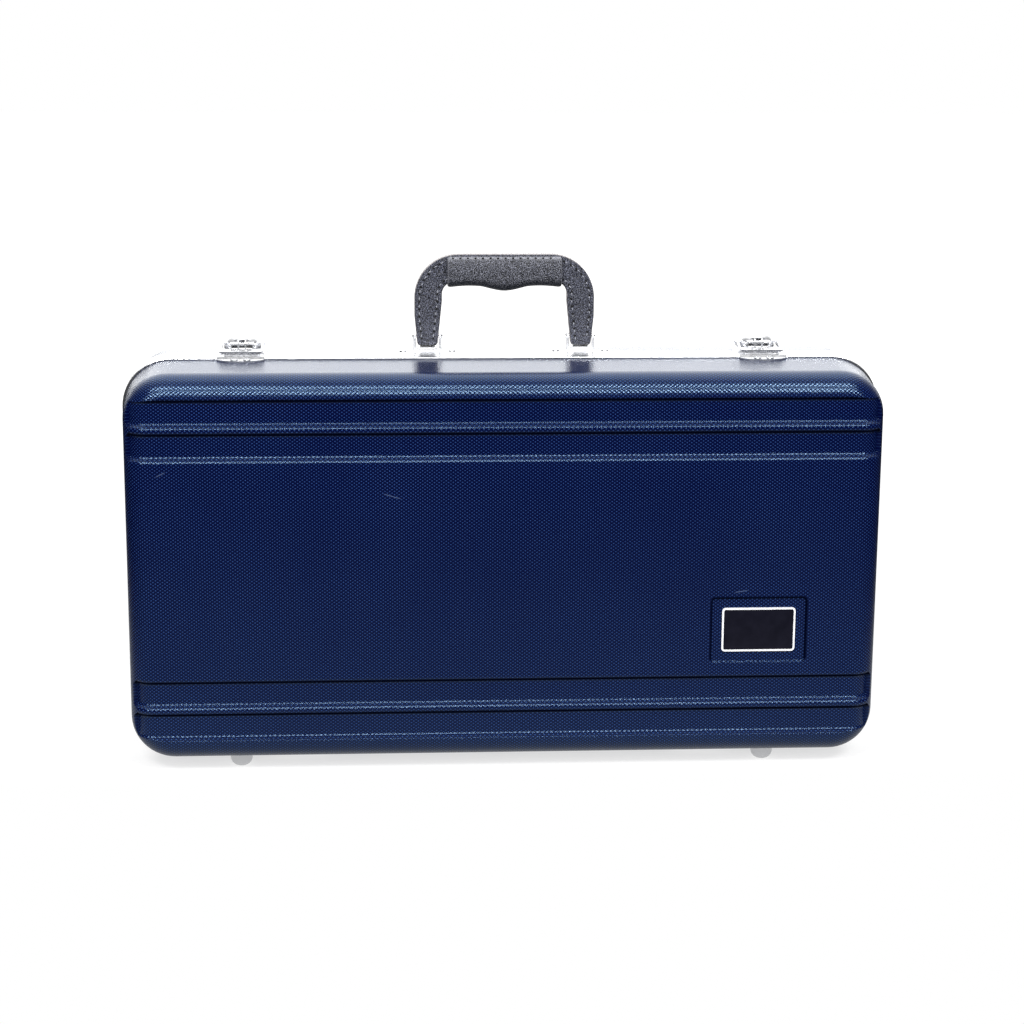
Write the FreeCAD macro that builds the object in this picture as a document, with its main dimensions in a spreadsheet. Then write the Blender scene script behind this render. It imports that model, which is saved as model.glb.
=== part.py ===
import FreeCAD
import Part
import Sketcher
import os
import re

# A moulded trumpet case that stands on its four feet, in millimetres.
# X runs along the case, -Y is the front (the lid), +Z is up and the floor is at zero.
# The two halves meet at the seam, the plane Y = 0. Depths are measured from the seam.

Vector = FreeCAD.Vector
Rotation = FreeCAD.Rotation

SIZES = (
    # The two shells
    ("case_length", 545, "shell length at its rim"),
    ("case_height", 287, "shell height at its rim"),
    ("half_depth", 66, "seam to the flat face of either shell"),
    ("corner_radius", 34, "corners of the shell at its rim"),
    ("draft_angle", 3, "how far the sides lean in, in degrees"),
    ("face_fillet", 17, "rounding between the sides and the face"),
    ("wall", 2.8, "shell wall"),
    # The grooves moulded across each face, in two pairs
    ("groove_width", 20.7, "one groove, edge to edge"),
    ("groove_depth", 3.3, "groove floor below the face"),
    ("groove_slope", 40, "lean of the groove walls, in degrees"),
    ("groove_floor_round", 1.8, "rounding where a groove's walls meet its floor"),
    ("groove_rim_round", 2.2, "rounding of a groove's rim"),
    ("groove_inset", 18.5, "case edge to the first groove"),
    ("groove_rib", 3.3, "face left between the grooves of a pair"),
    ("groove_turn", 57, "how far a groove's ends run round the rounding, in degrees"),
    ("groove_back_turn", 12, "how much further the wall behind it runs, in degrees"),
    ("groove_air", 8, "skin to the outside of the form that cuts a groove"),
    # The recess for the badge
    ("badge_inset", 90, "end of the case to the badge's centre"),
    ("badge_up", 97.7, "badge centre above the shell's lower edge"),
    ("recess_length", 69, "badge recess"),
    ("recess_height", 48, "badge recess"),
    ("recess_depth", 1.5, "badge recess"),
    ("recess_corner", 3, "badge recess"),
    ("badge_length", 53.2, "badge rim, outside"),
    ("badge_height", 32.5, "badge rim, outside"),
    ("badge_corner", 2.5, "badge rim, outside"),
    ("badge_rim_width", 1.3, "bright rim around the badge"),
    ("badge_rim_thickness", 1.3, "bright rim above the recess floor"),
    ("badge_plate_thickness", 0.9, "black plate inside the rim"),
    # The aluminium valances
    ("seam_web", 4, "solid web between the seam and the edge of a shell"),
    ("valance_width", 11, "one valance, seam to its free edge"),
    ("valance_proud", 1.2, "valance above the shell's skin"),
    ("valance_lip", 1.2, "inner lip behind the shell's wall"),
    ("valance_round", 0.8, "rounding of the free edge"),
    ("seam_round", 0.35, "rounding at the parting line"),
    ("tongue_inset", 0.8, "shell's outline to the tongue"),
    ("tongue_thickness", 1.2, "tongue on the base valance"),
    ("tongue_length", 1.6, "tongue past the seam"),
    ("tongue_clearance", 0.5, "tongue in its groove, on every side"),
    # Feet
    ("foot_end_inset", 80.5, "end of the case to a foot"),
    ("foot_face_inset", 28, "flat face of the shell to a foot"),
    ("foot_height", 10.9, "floor to the shell at the foot"),
    ("foot_diameter", 16, "foot"),
    ("foot_round", 6.2, "rounding of the foot's sole"),
    ("foot_shank", 4, "diameter of the rivet that holds a foot"),
    ("foot_washer", 9, "diameter of its head inside the shell"),
    ("foot_bed", 0.8, "foot and head carried into the shell before they are cut to its skin"),
    ("foot_head", 1.4, "head inside the shell, above its wall"),
    # Rivets
    ("rivet_shank", 3, "rivet diameter"),
    ("rivet_head", 5.4, "outer head diameter"),
    ("rivet_head_height", 1.1, "outer head"),
    ("rivet_tail", 4.8, "upset head inside the shell"),
    ("rivet_tail_height", 0.8, "upset head"),
    ("hole_clearance", 0.05, "around a rivet, on the radius"),
    # Hinges
    ("hinge_inset", 122.5, "end of the case to a hinge's centre"),
    ("hinge_length", 42, "one hinge"),
    ("hinge_leaf_reach", 26, "leaf, from the seam"),
    ("hinge_leaf_thickness", 1.3, "leaf"),
    ("knuckle_radius", 3, "knuckle, outside"),
    ("knuckle_drop", 3.3, "valance to the hinge axis"),
    ("knuckle_gap", 0.3, "between neighbouring knuckles, and around them"),
    ("hinge_pin_radius", 1.3, "pin"),
    ("pin_clearance", 0.05, "pin in its bore, on the radius"),
    ("hinge_rivet_across", 13, "rivet from the hinge centre"),
    ("hinge_rivet_depth", 19.5, "rivet from the seam"),
    ("hinge_leaf_corner", 4, "corners of a leaf"),
    # Plates that lie on a valance and step down to the skin beside it
    ("seam_gap", 0.2, "open line between the closed halves"),
    ("step_gap", 0.15, "valance to the step"),
    ("step_run", 1.15, "length of the step"),
    # Latches
    ("latch_inset", 84, "end of the case to a latch's centre"),
    ("latch_width", 34, "latch plate and catch"),
    ("latch_thickness", 1.2, "latch plate"),
    ("latch_start", 1, "seam to the latch plate"),
    ("latch_reach", 42, "seam to the rear edge of the latch plate"),
    ("latch_corner", 9, "rear corners of the latch plate"),
    ("ear_across", 2.6, "ear from the middle of the latch"),
    ("ear_thickness", 1.3, "ear"),
    ("ear_radius", 2.8, "rounded top of an ear"),
    ("pivot_depth", 12, "seam to the lever's pin"),
    ("pivot_rise", 6.5, "valance to the lever's pin"),
    ("pivot_radius", 1.25, "lever's pin and the link's pins"),
    ("pivot_reach", 8.4, "half length of the lever's pin"),
    ("dome_depth", 23, "seam to the middle of the lever's dome"),
    ("dome_rise", 1.8, "valance to the middle of the dome"),
    ("dome_half_width", 13.4, "dome, along the case"),
    ("dome_half_depth", 16, "dome, across the case"),
    ("dome_height", 12.2, "dome"),
    ("dome_wall", 1.5, "dome"),
    ("dome_low_front", 1.6, "valance to the dome's lower edge at its pin"),
    ("dome_low_rear", 1.3, "the dome's lower edge at its rear, below the valance"),
    ("nose_radius", 5, "lever ahead of its pin, about the pin"),
    ("mouth_half_width", 7.2, "opening under the dome"),
    ("mouth_rise", 3.2, "opening above the lever's pin"),
    ("ear_gap", 0.3, "lever around the ears"),
    ("latch_rivet_across", 4.5, "rivets of the latch plate and the catch"),
    ("latch_rivet_depth", 27, "rivets of the latch plate"),
    ("link_depth", 19, "seam to the link's pins"),
    ("link_rise", 6, "valance to the link's pins"),
    ("link_inner", 14.2, "inner face of a link arm"),
    ("link_outer", 15.8, "outer face of a link arm"),
    ("link_eye", 2.6, "eye of a link arm, radius"),
    ("link_pin_inner", 9, "inner end of a link pin"),
    ("link_pin_head", 2.1, "head of a link pin, radius"),
    ("link_pin_cap", 0.6, "head of a link pin, thickness"),
    ("hasp_front", 9, "front edge of the hasp, ahead of the seam"),
    ("hasp_rear", 2.5, "rear edge of the hasp, behind the seam"),
    ("hasp_rise", 3, "valance to the hasp"),
    ("hasp_thickness", 1.3, "hasp"),
    ("hasp_corner", 4, "front corners of the hasp"),
    ("window_length", 3.6, "window in the hasp, along the case"),
    ("window_width", 4.5, "window in the hasp, across the case"),
    ("window_pitch", 5.7, "between the windows' middles"),
    ("catch_thickness", 1, "catch plate"),
    ("catch_radius", 28, "curved front edge of the catch"),
    ("catch_centre", 9, "centre of that curve, behind the seam"),
    ("catch_reach", 19.5, "length the catch is cut from"),
    ("catch_rivet_depth", 15.6, "rivets of the catch"),
    ("ridge_half_length", 12, "ridge on the catch"),
    ("ridge_front", 7.5, "front face of the ridge, from the seam"),
    ("ridge_rear", 6, "rear face of the ridge, from the seam"),
    ("ridge_rise", 2.6, "valance to the top of the ridge"),
    # Handle
    ("handle_depth", 17.5, "seam to the handle's axis"),
    ("handle_plate_length", 46, "plate"),
    ("handle_plate_front", 11.6, "seam to the plate"),
    ("handle_plate_rear", 24, "seam to the plate's rear edge"),
    ("handle_plate_thickness", 1.3, "plate"),
    ("handle_plate_corner", 5, "plate"),
    ("handle_rivet_across", 18, "rivet from the plate's centre"),
    ("saddle_rise", 1.6, "plate to the handle's axis"),
    ("saddle_radius", 2.6, "tube the yoke turns in"),
    ("saddle_length", 11, "tube the yoke turns in"),
    ("wire_radius", 0.9, "yoke"),
    ("eye_gap", 0.25, "leg to the eye of a yoke beside it"),
    ("yoke_rise", 12, "shell to the handle's pins"),
    ("eye_radius", 2.2, "eye of a yoke"),
    ("eye_length", 1.6, "eye of a yoke"),
    ("handle_pin_radius", 1, "pin through a leg"),
    ("handle_pin_slack", 0.2, "eye of a yoke to the head of its pin"),
    ("handle_pin_head", 2, "head of the pin, radius"),
    ("handle_pin_cap", 0.7, "head of the pin, thickness"),
    ("cover_thickness", 8, "leather handle"),
    ("handle_shift", 2, "middle of the handle from the middle of the case"),
    ("cover_half_length", 65.5, "handle, outside"),
    ("cover_rise", 72.2, "shell to the top of the handle"),
    ("leg_rise", 5.2, "shell to the lower end of a leg"),
    ("leg_shoulder", 27, "shell to the widest point of a leg, outside"),
    ("leg_lean", 2.2, "how far a leg draws in on the outside, from its shoulder down"),
    ("leg_width", 14.6, "lower end of a leg"),
    ("shoulder_width", 20.1, "leg beside the hand opening"),
    ("window_shoulder", 38, "shell to where the hand opening turns upright"),
    ("window_rise", 52, "shell to the strap over the hand opening"),
    ("cover_outer_round", 32, "outer corners of the handle"),
    ("cover_inner_round", 9, "corners of the hand opening"),
    ("leg_round", 3, "corners of a leg's lower end"),
    ("cover_edge_round", 1.8, "all long edges"),
    ("core_inset", 4.3, "handle's outline to its steel core"),
    ("core_thickness", 4, "steel core"),
    ("grip_end_gap", 4, "side of the hand opening to the end of the padded grip"),
    ("grip_depth", 24, "padded grip, front to back"),
    ("grip_rise", 48.2, "shell to the underside of the grip at its ends"),
    ("grip_round", 9, "long edges of the grip"),
    ("grip_end_round", 2.5, "ends of the grip"),
    ("grip_clearance", 0.3, "grip around the strap"),
    ("belly_half_length", 21, "swelling under the grip"),
    ("belly_half_depth", 9, "swelling under the grip"),
    ("belly_rise", 45.4, "shell to the lowest point of the swelling"),
    ("belly_height", 8, "swelling, half height"),
    # Inside
    ("insert_start", 0.5, "seam to the insert and to the lid's liner"),
    ("insert_back_gap", 6.5, "flat face of the shell to their backs"),
    ("insert_inset", 4.5, "case outline to their outline"),
    ("insert_round", 20, "their rounding towards the face"),
    ("bed_floor", 11.5, "back of the insert to the floor of its beds"),
    ("bed_round", 6, "corners of the beds"),
    ("bed_up", 180, "axis of the trumpet above the shell's lower edge"),
    ("bed_left_inset", 27.5, "end of the case to the mouthpipe end of the bed"),
    ("bed_block_left", 150, "valve block's end of the bed"),
    ("bed_block_right", 60, "valve block's bell side of the bed"),
    ("bed_pipe_half", 17, "half height at the mouthpipe"),
    ("bed_block_half", 52, "half height at the valve block"),
    ("bed_throat_half", 22, "half height at the bell's tail"),
    ("bed_right_inset", 25.5, "end of the case to the bell's end of the bed"),
    ("bed_bell_half", 62, "half height at the bell"),
    ("box_inset", 37.5, "end of the case to the compartment"),
    ("box_right", 35, "compartment to the middle of the case"),
    ("box_low", 12, "compartment above the shell's lower edge"),
    ("box_high", 71, "compartment above the shell's lower edge"),
    ("mouthpiece_diameter", 27, "bore for a mouthpiece"),
    ("mouthpiece_first", 70, "first bore from the middle of the case"),
    ("mouthpiece_pitch", 48, "between the bores"),
    ("mouthpiece_up", 48, "bores above the shell's lower edge"),
    ("mouthpiece_floor", 19.5, "back of the insert to the floor of the bores"),
    ("board_thickness", 2.5, "compartment lid"),
    ("board_gap", 2, "around the compartment lid"),
    ("board_axis_up", 15, "its axis above the shell's lower edge"),
    ("board_roll", 2.2, "rolled lower edge, radius"),
    ("board_pin", 1.2, "its pin, radius"),
    ("board_pin_reach", 5, "pin past each end of the board"),
    ("tab_length", 16, "pull tab"),
    ("tab_height", 14, "pull tab"),
    ("tab_thickness", 1.2, "pull tab"),
    ("liner_wall", 4, "lid liner"),
    ("liner_round", 12, "lid liner, inside"),
    ("cushion_front", 12, "seam to the cushions"),
    ("cushion_gap", 0.3, "liner to the cushions"),
    ("cushion_round", 10, "edges of the cushions"),
    ("cushion_low", 112, "cushions above the shell's lower edge"),
    ("cushion_high", 248, "cushions above the shell's lower edge"),
    ("cushion_left", 145, "body cushion"),
    ("cushion_right", 45, "body cushion"),
    ("cushion_bell_inset", 40.5, "end of the case to the bell cushion"),
    ("cushion_bell_length", 122, "bell cushion"),
)

DERIVED = {
    "shell_low": "(foot_height - (foot_depth - seam_web) * tan(draft_angle))",
    "shell_top": "(shell_low + case_height)",
    "half_length": "(case_length / 2)",
    "badge_across": "(half_length - badge_inset)",
    "foot_across": "(half_length - foot_end_inset)",
    "foot_depth": "(half_depth - foot_face_inset)",
    "hinge_across": "(half_length - hinge_inset)",
    "latch_across": "(half_length - latch_inset)",
    "face_centre": "(half_length - (half_depth - face_fillet - seam_web) * tan(draft_angle)"
                   " - face_fillet / cos(draft_angle))",
    "hinge_height": "(shell_low - valance_proud - knuckle_drop)",
    "knuckle_length": "((hinge_length - 2 * knuckle_gap) / 3)",
    "hinge_bore": "(hinge_pin_radius + pin_clearance)",
    "step_start": "(valance_width + step_gap)",
    "step_end": "(step_start + step_run)",
    "valance_top": "(shell_top + valance_proud)",
    "pivot_height": "(valance_top + pivot_rise)",
    "pivot_bore": "(pivot_radius + pin_clearance)",
    "link_height": "(valance_top + link_rise)",
    "dome_middle": "(valance_top + dome_rise)",
    "handle_height": "(shell_top - (handle_depth - seam_web) * tan(draft_angle)"
                     " + handle_plate_thickness + saddle_rise)",
    "leg_outer": "(cover_half_length - leg_lean)",
    "leg_inner": "(leg_outer - leg_width)",
    "window_half_length": "(cover_half_length - shoulder_width)",
    "grip_half_length": "(window_half_length - grip_end_gap)",
    "handle_across": "((leg_outer + leg_inner) / 2)",
    "leg_at_eye": "(leg_outer + leg_lean * (yoke_rise + eye_radius - leg_rise)"
                  " / (leg_shoulder - leg_rise))",
    "yoke_across": "(leg_at_eye + eye_gap + eye_length / 2 - handle_across)",
    "handle_pin_reach": "(yoke_across + eye_length / 2 + handle_pin_slack)",
    "handle_pin_height": "(shell_top + yoke_rise)",
    "handle_bore": "(handle_pin_radius + pin_clearance)",
    "insert_reach": "(half_depth - insert_back_gap)",
    "bed_depth": "(insert_reach - bed_floor)",
    "mouthpiece_depth": "(insert_reach - mouthpiece_floor)",
    "bed_left": "(half_length - bed_left_inset)",
    "bed_right": "(half_length - bed_right_inset)",
    "box_left": "(half_length - box_inset)",
    "cushion_bell_right": "(half_length - cushion_bell_inset)",
    "cushion_bell_left": "(cushion_bell_right - cushion_bell_length)",
}
ALIASES = {alias for alias, number, note in SIZES}

doc = FreeCAD.newDocument("trumpet_case")
sheet = doc.addObject("Spreadsheet::Sheet", "sizes")
for row, (alias, number, note) in enumerate(SIZES, 1):
    sheet.set(f"A{row}", alias)
    sheet.set(f"B{row}", str(number))
    sheet.setAlias(f"B{row}", alias)
    sheet.set(f"C{row}", note)
doc.recompute()

sub_parts = []


def formula(text):
    """The text with derived names written out and each size turned into its cell."""

    def replaced(found):
        word = found[0]
        if word in DERIVED:
            return formula(DERIVED[word])
        return "sizes." + word if word in ALIASES else word

    return re.sub(r"[a-z_]+", replaced, text)


def size(text):
    return float(sheet.evalExpression(formula(text)))


def bind(thing, prop, text):
    thing.setExpression(prop, formula(text))


def place(thing, x="0", y="0", z="0"):
    for axis, text in (("x", x), ("y", y), ("z", z)):
        bind(thing, f"Placement.Base.{axis}", text)
    return thing


def sub_part(thing, label):
    """Name a finished piece, which is written out under that name."""
    thing.Label = label
    sub_parts.append(thing)
    return thing


def skin(depth, above="0", top=True):
    """Height of a point above the shell's skin, on its top or below its bottom."""
    drop = f"(({depth}) - seam_web) * tan(draft_angle)"
    if top:
        return f"shell_top - {drop} + ({above})"
    return f"shell_low + {drop} - ({above})"


def rim(above="0", top=True):
    """Height of a point above the valance's outer face, on the top or the bottom."""
    if top:
        return f"shell_top + valance_proud + ({above})"
    return f"shell_low - valance_proud - ({above})"


# Sketches

def new_body(name):
    return doc.addObject("PartDesign::Body", name)


def sketch_on(body, role, offset="0"):
    """A sketch on an origin plane of the body, or at an offset along the plane's normal."""
    sketch = body.newObject("Sketcher::SketchObject", body.Name + "_sketch")
    plane = next(f for f in body.Origin.OriginFeatures if f.Role == role)
    sketch.AttachmentSupport = [(plane, "")]
    sketch.MapMode = "FlatFace"
    bind(sketch, "AttachmentOffset.Base.z", offset)
    return sketch


def fix(sketch, geometry, point, across, up):
    """Hold one end of a line, or a centre, at two formulas from the sketch's origin."""
    for kind, text, axis in (("DistanceX", across, -2), ("DistanceY", up, -1)):
        value = size(text)
        if abs(value) < 1e-9:
            sketch.addConstraint(Sketcher.Constraint("PointOnObject", geometry, point, axis))
            continue
        ends = (-1, 1, geometry, point) if value > 0 else (geometry, point, -1, 1)
        index = sketch.addConstraint(Sketcher.Constraint(kind, *ends, abs(value)))
        bind(sketch, f"Constraints[{index}]", text if value > 0 else f"-({text})")


def polygon(sketch, corners):
    """A closed outline through corners given as pairs of formulas."""
    points = [Vector(size(across), size(up), 0) for across, up in corners]
    count = len(points)
    first = sketch.GeometryCount
    for i in range(count):
        sketch.addGeometry(Part.LineSegment(points[i], points[(i + 1) % count]), False)
    for i in range(count):
        joint = Sketcher.Constraint("Coincident", first + i, 2, first + (i + 1) % count, 1)
        sketch.addConstraint(joint)
    for i, (across, up) in enumerate(corners):
        fix(sketch, first + i, 1, across, up)
    return sketch


def rounded_rectangle(sketch, left, low, right, high, radius):
    """A rectangle between four formulas, with its corners rounded."""
    x0, z0, x1, z1 = size(left), size(low), size(right), size(high)
    r = size(radius)
    first = sketch.GeometryCount
    quarter = FreeCAD.Units.Quantity("90 deg").getValueAs("rad").Value
    centres = ((x1 - r, z0 + r, -1), (x1 - r, z1 - r, 0), (x0 + r, z1 - r, 1), (x0 + r, z0 + r, 2))
    sides = (((x0 + r, z0), (x1 - r, z0)), ((x1, z0 + r), (x1, z1 - r)),
             ((x1 - r, z1), (x0 + r, z1)), ((x0, z1 - r), (x0, z0 + r)))
    for (start, end), (cx, cz, turn) in zip(sides, centres):
        sketch.addGeometry(Part.LineSegment(Vector(*start, 0), Vector(*end, 0)), False)
        ring = Part.Circle(Vector(cx, cz, 0), Vector(0, 0, 1), r)
        arc = Part.ArcOfCircle(ring, turn * quarter, (turn + 1) * quarter)
        sketch.addGeometry(arc, False)
    for i in range(4):
        line = first + 2 * i
        following = first + (2 * i + 2) % 8
        sketch.addConstraint(Sketcher.Constraint("Tangent", line, 2, line + 1, 1))
        sketch.addConstraint(Sketcher.Constraint("Tangent", line + 1, 2, following, 1))
        if i:
            sketch.addConstraint(Sketcher.Constraint("Equal", first + 1, line + 1))
        kind = "Vertical" if i % 2 else "Horizontal"
        sketch.addConstraint(Sketcher.Constraint(kind, line))
    number = sketch.addConstraint(Sketcher.Constraint("Radius", first + 1, r))
    bind(sketch, f"Constraints[{number}]", radius)
    for kind, side, text, value in (("DistanceY", 0, low, z0), ("DistanceX", 1, right, x1),
                                    ("DistanceY", 2, high, z1), ("DistanceX", 3, left, x0)):
        line = first + 2 * side
        ends = (-1, 1, line, 1) if value > 0 else (line, 1, -1, 1)
        number = sketch.addConstraint(Sketcher.Constraint(kind, *ends, abs(value)))
        bind(sketch, f"Constraints[{number}]", text if value > 0 else f"-({text})")
    return sketch


# Features

def extrude(body, kind, sketch, length, lean="0", reverse=False, middle=False):
    feature = body.newObject("PartDesign::" + kind, body.Name + "_" + kind.lower())
    feature.Profile = sketch
    bind(feature, "Length", length)
    if lean != "0":
        bind(feature, "TaperAngle", lean)
    feature.Reversed = reverse
    if middle:
        feature.SideType = "Symmetric"
    doc.recompute()
    return feature


def pad(body, sketch, length, **choices):
    return extrude(body, "Pad", sketch, length, **choices)


def pocket(body, sketch, length, **choices):
    before = body.Shape.Volume
    feature = extrude(body, "Pocket", sketch, length, **choices)
    if body.Shape.Volume > before - 1e-6:
        raise RuntimeError(f"{feature.Name} cuts nothing")
    return feature


def round_edges(body, radius, chosen):
    """Round the edges of the body's last feature that the test picks."""
    tip = body.Tip
    names = [f"Edge{i}" for i, edge in enumerate(tip.Shape.Edges, 1) if chosen(edge)]
    if not names:
        raise RuntimeError(f"{body.Name} has no edge to round")
    feature = body.newObject("PartDesign::Fillet", body.Name + "_fillet")
    feature.Base = (tip, names)
    bind(feature, "Radius", radius)
    doc.recompute()
    return feature


def flat_at(edge, axis, value):
    """Whether the edge lies in the plane where the axis has the value."""
    box = edge.BoundBox
    low, high = getattr(box, axis + "Min"), getattr(box, axis + "Max")
    return abs(low - value) < 1e-4 and abs(high - value) < 1e-4


def upright(edge):
    return edge.BoundBox.XLength < 1e-4 and edge.BoundBox.YLength < 1e-4


def along(edge, axis):
    """Whether a straight edge runs along the axis."""
    lengths = {"X": edge.BoundBox.XLength, "Y": edge.BoundBox.YLength, "Z": edge.BoundBox.ZLength}
    length = lengths.pop(axis)
    return length > 1e-3 and max(lengths.values()) < 1e-4


def cylinder(name, radius, length, axis="z"):
    """A cylinder along an axis, from its own origin."""
    rod = doc.addObject("Part::Cylinder", name)
    bind(rod, "Radius", radius)
    bind(rod, "Height", length)
    turns = {"x": Rotation(Vector(0, 1, 0), 90), "y": Rotation(Vector(1, 0, 0), -90)}
    if axis in turns:
        rod.Placement.Rotation = turns[axis]
    return rod


def box(name, x, y, z, length, width, height):
    block = doc.addObject("Part::Box", name)
    bind(block, "Length", length)
    bind(block, "Width", width)
    bind(block, "Height", height)
    return place(block, x, y, z)


def combine(kind, name, base, tool):
    result = doc.addObject("Part::" + kind, name)
    result.Base = base
    result.Tool = tool
    return result


def fuse(name, pieces):
    result = doc.addObject("Part::MultiFuse", name)
    result.Shapes = pieces
    return result


def group(name, pieces):
    result = doc.addObject("Part::Compound", name)
    result.Links = pieces
    return result


# Rivets: a low domed head on the outer face, a shank, and an upset head inside.
# A rivet stands square to the leaning skin, so it is turned by the draft angle.

def stand_square(thing, x, depth, height, front, top):
    """Put a piece at a point of the top or bottom skin, with its own Z pointing outwards."""
    side = -1 if front else 1
    place(thing, x, f"{side} * ({depth})", height)
    turned = "draft_angle" if top else "180 - draft_angle"
    bind(thing, "Placement.Rotation.Angle", turned)
    thing.Placement.Rotation = Rotation(Vector(-side, 0, 0), size(turned))
    return thing


def rivets(name, spots, front, top, plate):
    """Rivets at (x, depth) spots through a plate and the shell: their solids and their holes."""
    solids, holes = [], []
    for number, (x, depth) in enumerate(spots, 1):
        body = new_body(f"{name}_{number}")
        lower = "0 - wall - (" + plate + ")"
        profile = polygon(sketch_on(body, "XZ_Plane"), (
            ("0", f"{lower} - rivet_tail_height"),
            ("rivet_tail / 2", f"{lower} - rivet_tail_height"),
            ("rivet_tail / 2", lower),
            ("rivet_shank / 2", lower),
            ("rivet_shank / 2", "0"),
            ("rivet_head / 2", "0"),
            ("rivet_head / 2", "rivet_head_height"),
            ("0", "rivet_head_height"),
        ))
        turned = body.newObject("PartDesign::Revolution", body.Name + "_turned")
        turned.Profile = profile
        turned.ReferenceAxis = (profile, ["V_Axis"])
        doc.recompute()
        high = size("rivet_head_height")
        round_edges(body, "rivet_head_height * 0.8", lambda edge: flat_at(edge, "Z", high))
        solids.append(stand_square(body, x, depth, skin(depth, plate, top), front, top))
        bore = cylinder(f"{name}_bore_{number}", "rivet_shank / 2 + hole_clearance", "4 * wall + 8")
        bore.Placement.Base = Vector(0, 0, 0)
        sunk = group(f"{name}_hole_{number}", [bore])
        bind(bore, "Placement.Base.z", "0 - 4 * wall - 4")
        holes.append(stand_square(sunk, x, depth, skin(depth, plate, top), front, top))
    return group(name, solids), holes


# The shells. Each is drawn at the edge of its wall, padded to its face with draft, and hollowed.

def outline(sketch, inward):
    """The rounded outline of the case, moved inwards by a formula."""
    return rounded_rectangle(
        sketch, f"0 - half_length + ({inward})", f"shell_low + ({inward})",
        f"half_length - ({inward})", f"shell_top - ({inward})", f"corner_radius - ({inward})")


def groove_middles():
    """Heights of the middles of the four grooves."""
    first = "groove_inset + groove_width / 2"
    second = "groove_inset + groove_width * 1.5 + groove_rib"
    return (f"shell_low + {first}", f"shell_low + {second}",
            f"shell_top - ({second})", f"shell_top - ({first})")


def half_form(name, front, inset, depth, fillet):
    """One half's solid, moved inwards by the inset, with its grooved face at a depth."""
    side = 1 if front else -1
    body = new_body(name)
    sketch = outline(sketch_on(body, "XZ_Plane", f"{side} * seam_web"), inset)
    pad(body, sketch, f"{depth} - seam_web", lean="-draft_angle", reverse=not front)
    face = -side * size(depth)
    round_edges(body, fillet, lambda edge: flat_at(edge, "Y", face))
    return body


def face_band(sketch, side, depth, turn):
    """Air outside a face and round its rounded ends, from a depth below the skin."""
    inner, outer = f"(face_fillet - ({depth}))", "(face_fillet + groove_air)"
    centre = "(half_depth - face_fillet)"
    end_x, end_y = f"face_centre + {inner} * sin({turn})", f"{centre} + {inner} * cos({turn})"
    air_x, air_y = f"face_centre + {outer} * sin({turn})", f"{centre} + {outer} * cos({turn})"
    flat, air = f"half_depth - ({depth})", "half_depth + groove_air"
    corners = ((end_x, end_y), (air_x, air_y), (air_x, air), (f"0 - ({air_x})", air),
               (f"0 - ({air_x})", air_y), (f"0 - ({end_x})", end_y),
               ("0 - face_centre", flat), ("face_centre", flat))
    corners = [(x, f"{side} * ({y})") for x, y in corners]
    points = [Vector(size(x), size(y), 0) for x, y in corners]
    for i in range(5):
        sketch.addGeometry(Part.LineSegment(points[i], points[i + 1]), False)
    sketch.addGeometry(Part.LineSegment(points[6], points[7]), False)
    bend = size(inner)
    for word, middle in (("left", -size("face_centre")), ("right", size("face_centre"))):
        ring = Part.Circle(Vector(middle, side * size(centre), 0), Vector(0, 0, 1), bend)
        ends = (points[5], points[6]) if word == "left" else (points[7], points[0])
        if side > 0:
            ends = ends[::-1]
        start, finish = (ring.parameter(end) for end in ends)
        sketch.addGeometry(Part.ArcOfCircle(ring, start, finish), False)
    for i in range(4):
        sketch.addConstraint(Sketcher.Constraint("Coincident", i, 2, i + 1, 1))
    first, last = (1, 2) if side < 0 else (2, 1)
    sketch.addConstraint(Sketcher.Constraint("Coincident", 4, 2, 6, first))
    sketch.addConstraint(Sketcher.Constraint("Tangent", 6, last, 5, 1))
    sketch.addConstraint(Sketcher.Constraint("Tangent", 5, 2, 7, first))
    sketch.addConstraint(Sketcher.Constraint("Coincident", 7, last, 0, 1))
    for i in range(5):
        fix(sketch, i, 1, *corners[i])
    fix(sketch, 4, 2, *corners[5])
    fix(sketch, 5, 1, *corners[6])
    fix(sketch, 5, 2, *corners[7])
    return sketch


def groove_form(name, side, middle):
    """The form that cuts one groove: a flat floor between two leaning walls, and leaning ends."""
    body = new_body(name)
    floor = "(groove_width / 2 - groove_depth * tan(groove_slope))"
    wall_rise = "(groove_depth + 1) * tan(groove_slope)"
    level = face_band(sketch_on(body, "XY_Plane", middle), side, "groove_depth", "groove_turn")
    pad(body, level, f"2 * {floor}", middle=True)
    for turn in ("-1", "1"):
        level = face_band(sketch_on(body, "XY_Plane", f"{middle} + {turn} * {floor}"), side,
                          "groove_depth", "groove_turn")
        pad(body, level, wall_rise, lean="groove_slope - 90", reverse=turn == "-1")
    flat = side * size("half_depth - groove_depth")
    round_edges(body, "groove_floor_round",
                lambda edge: flat_at(edge, "Y", flat) and edge.BoundBox.XLength > 100)
    return body


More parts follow.
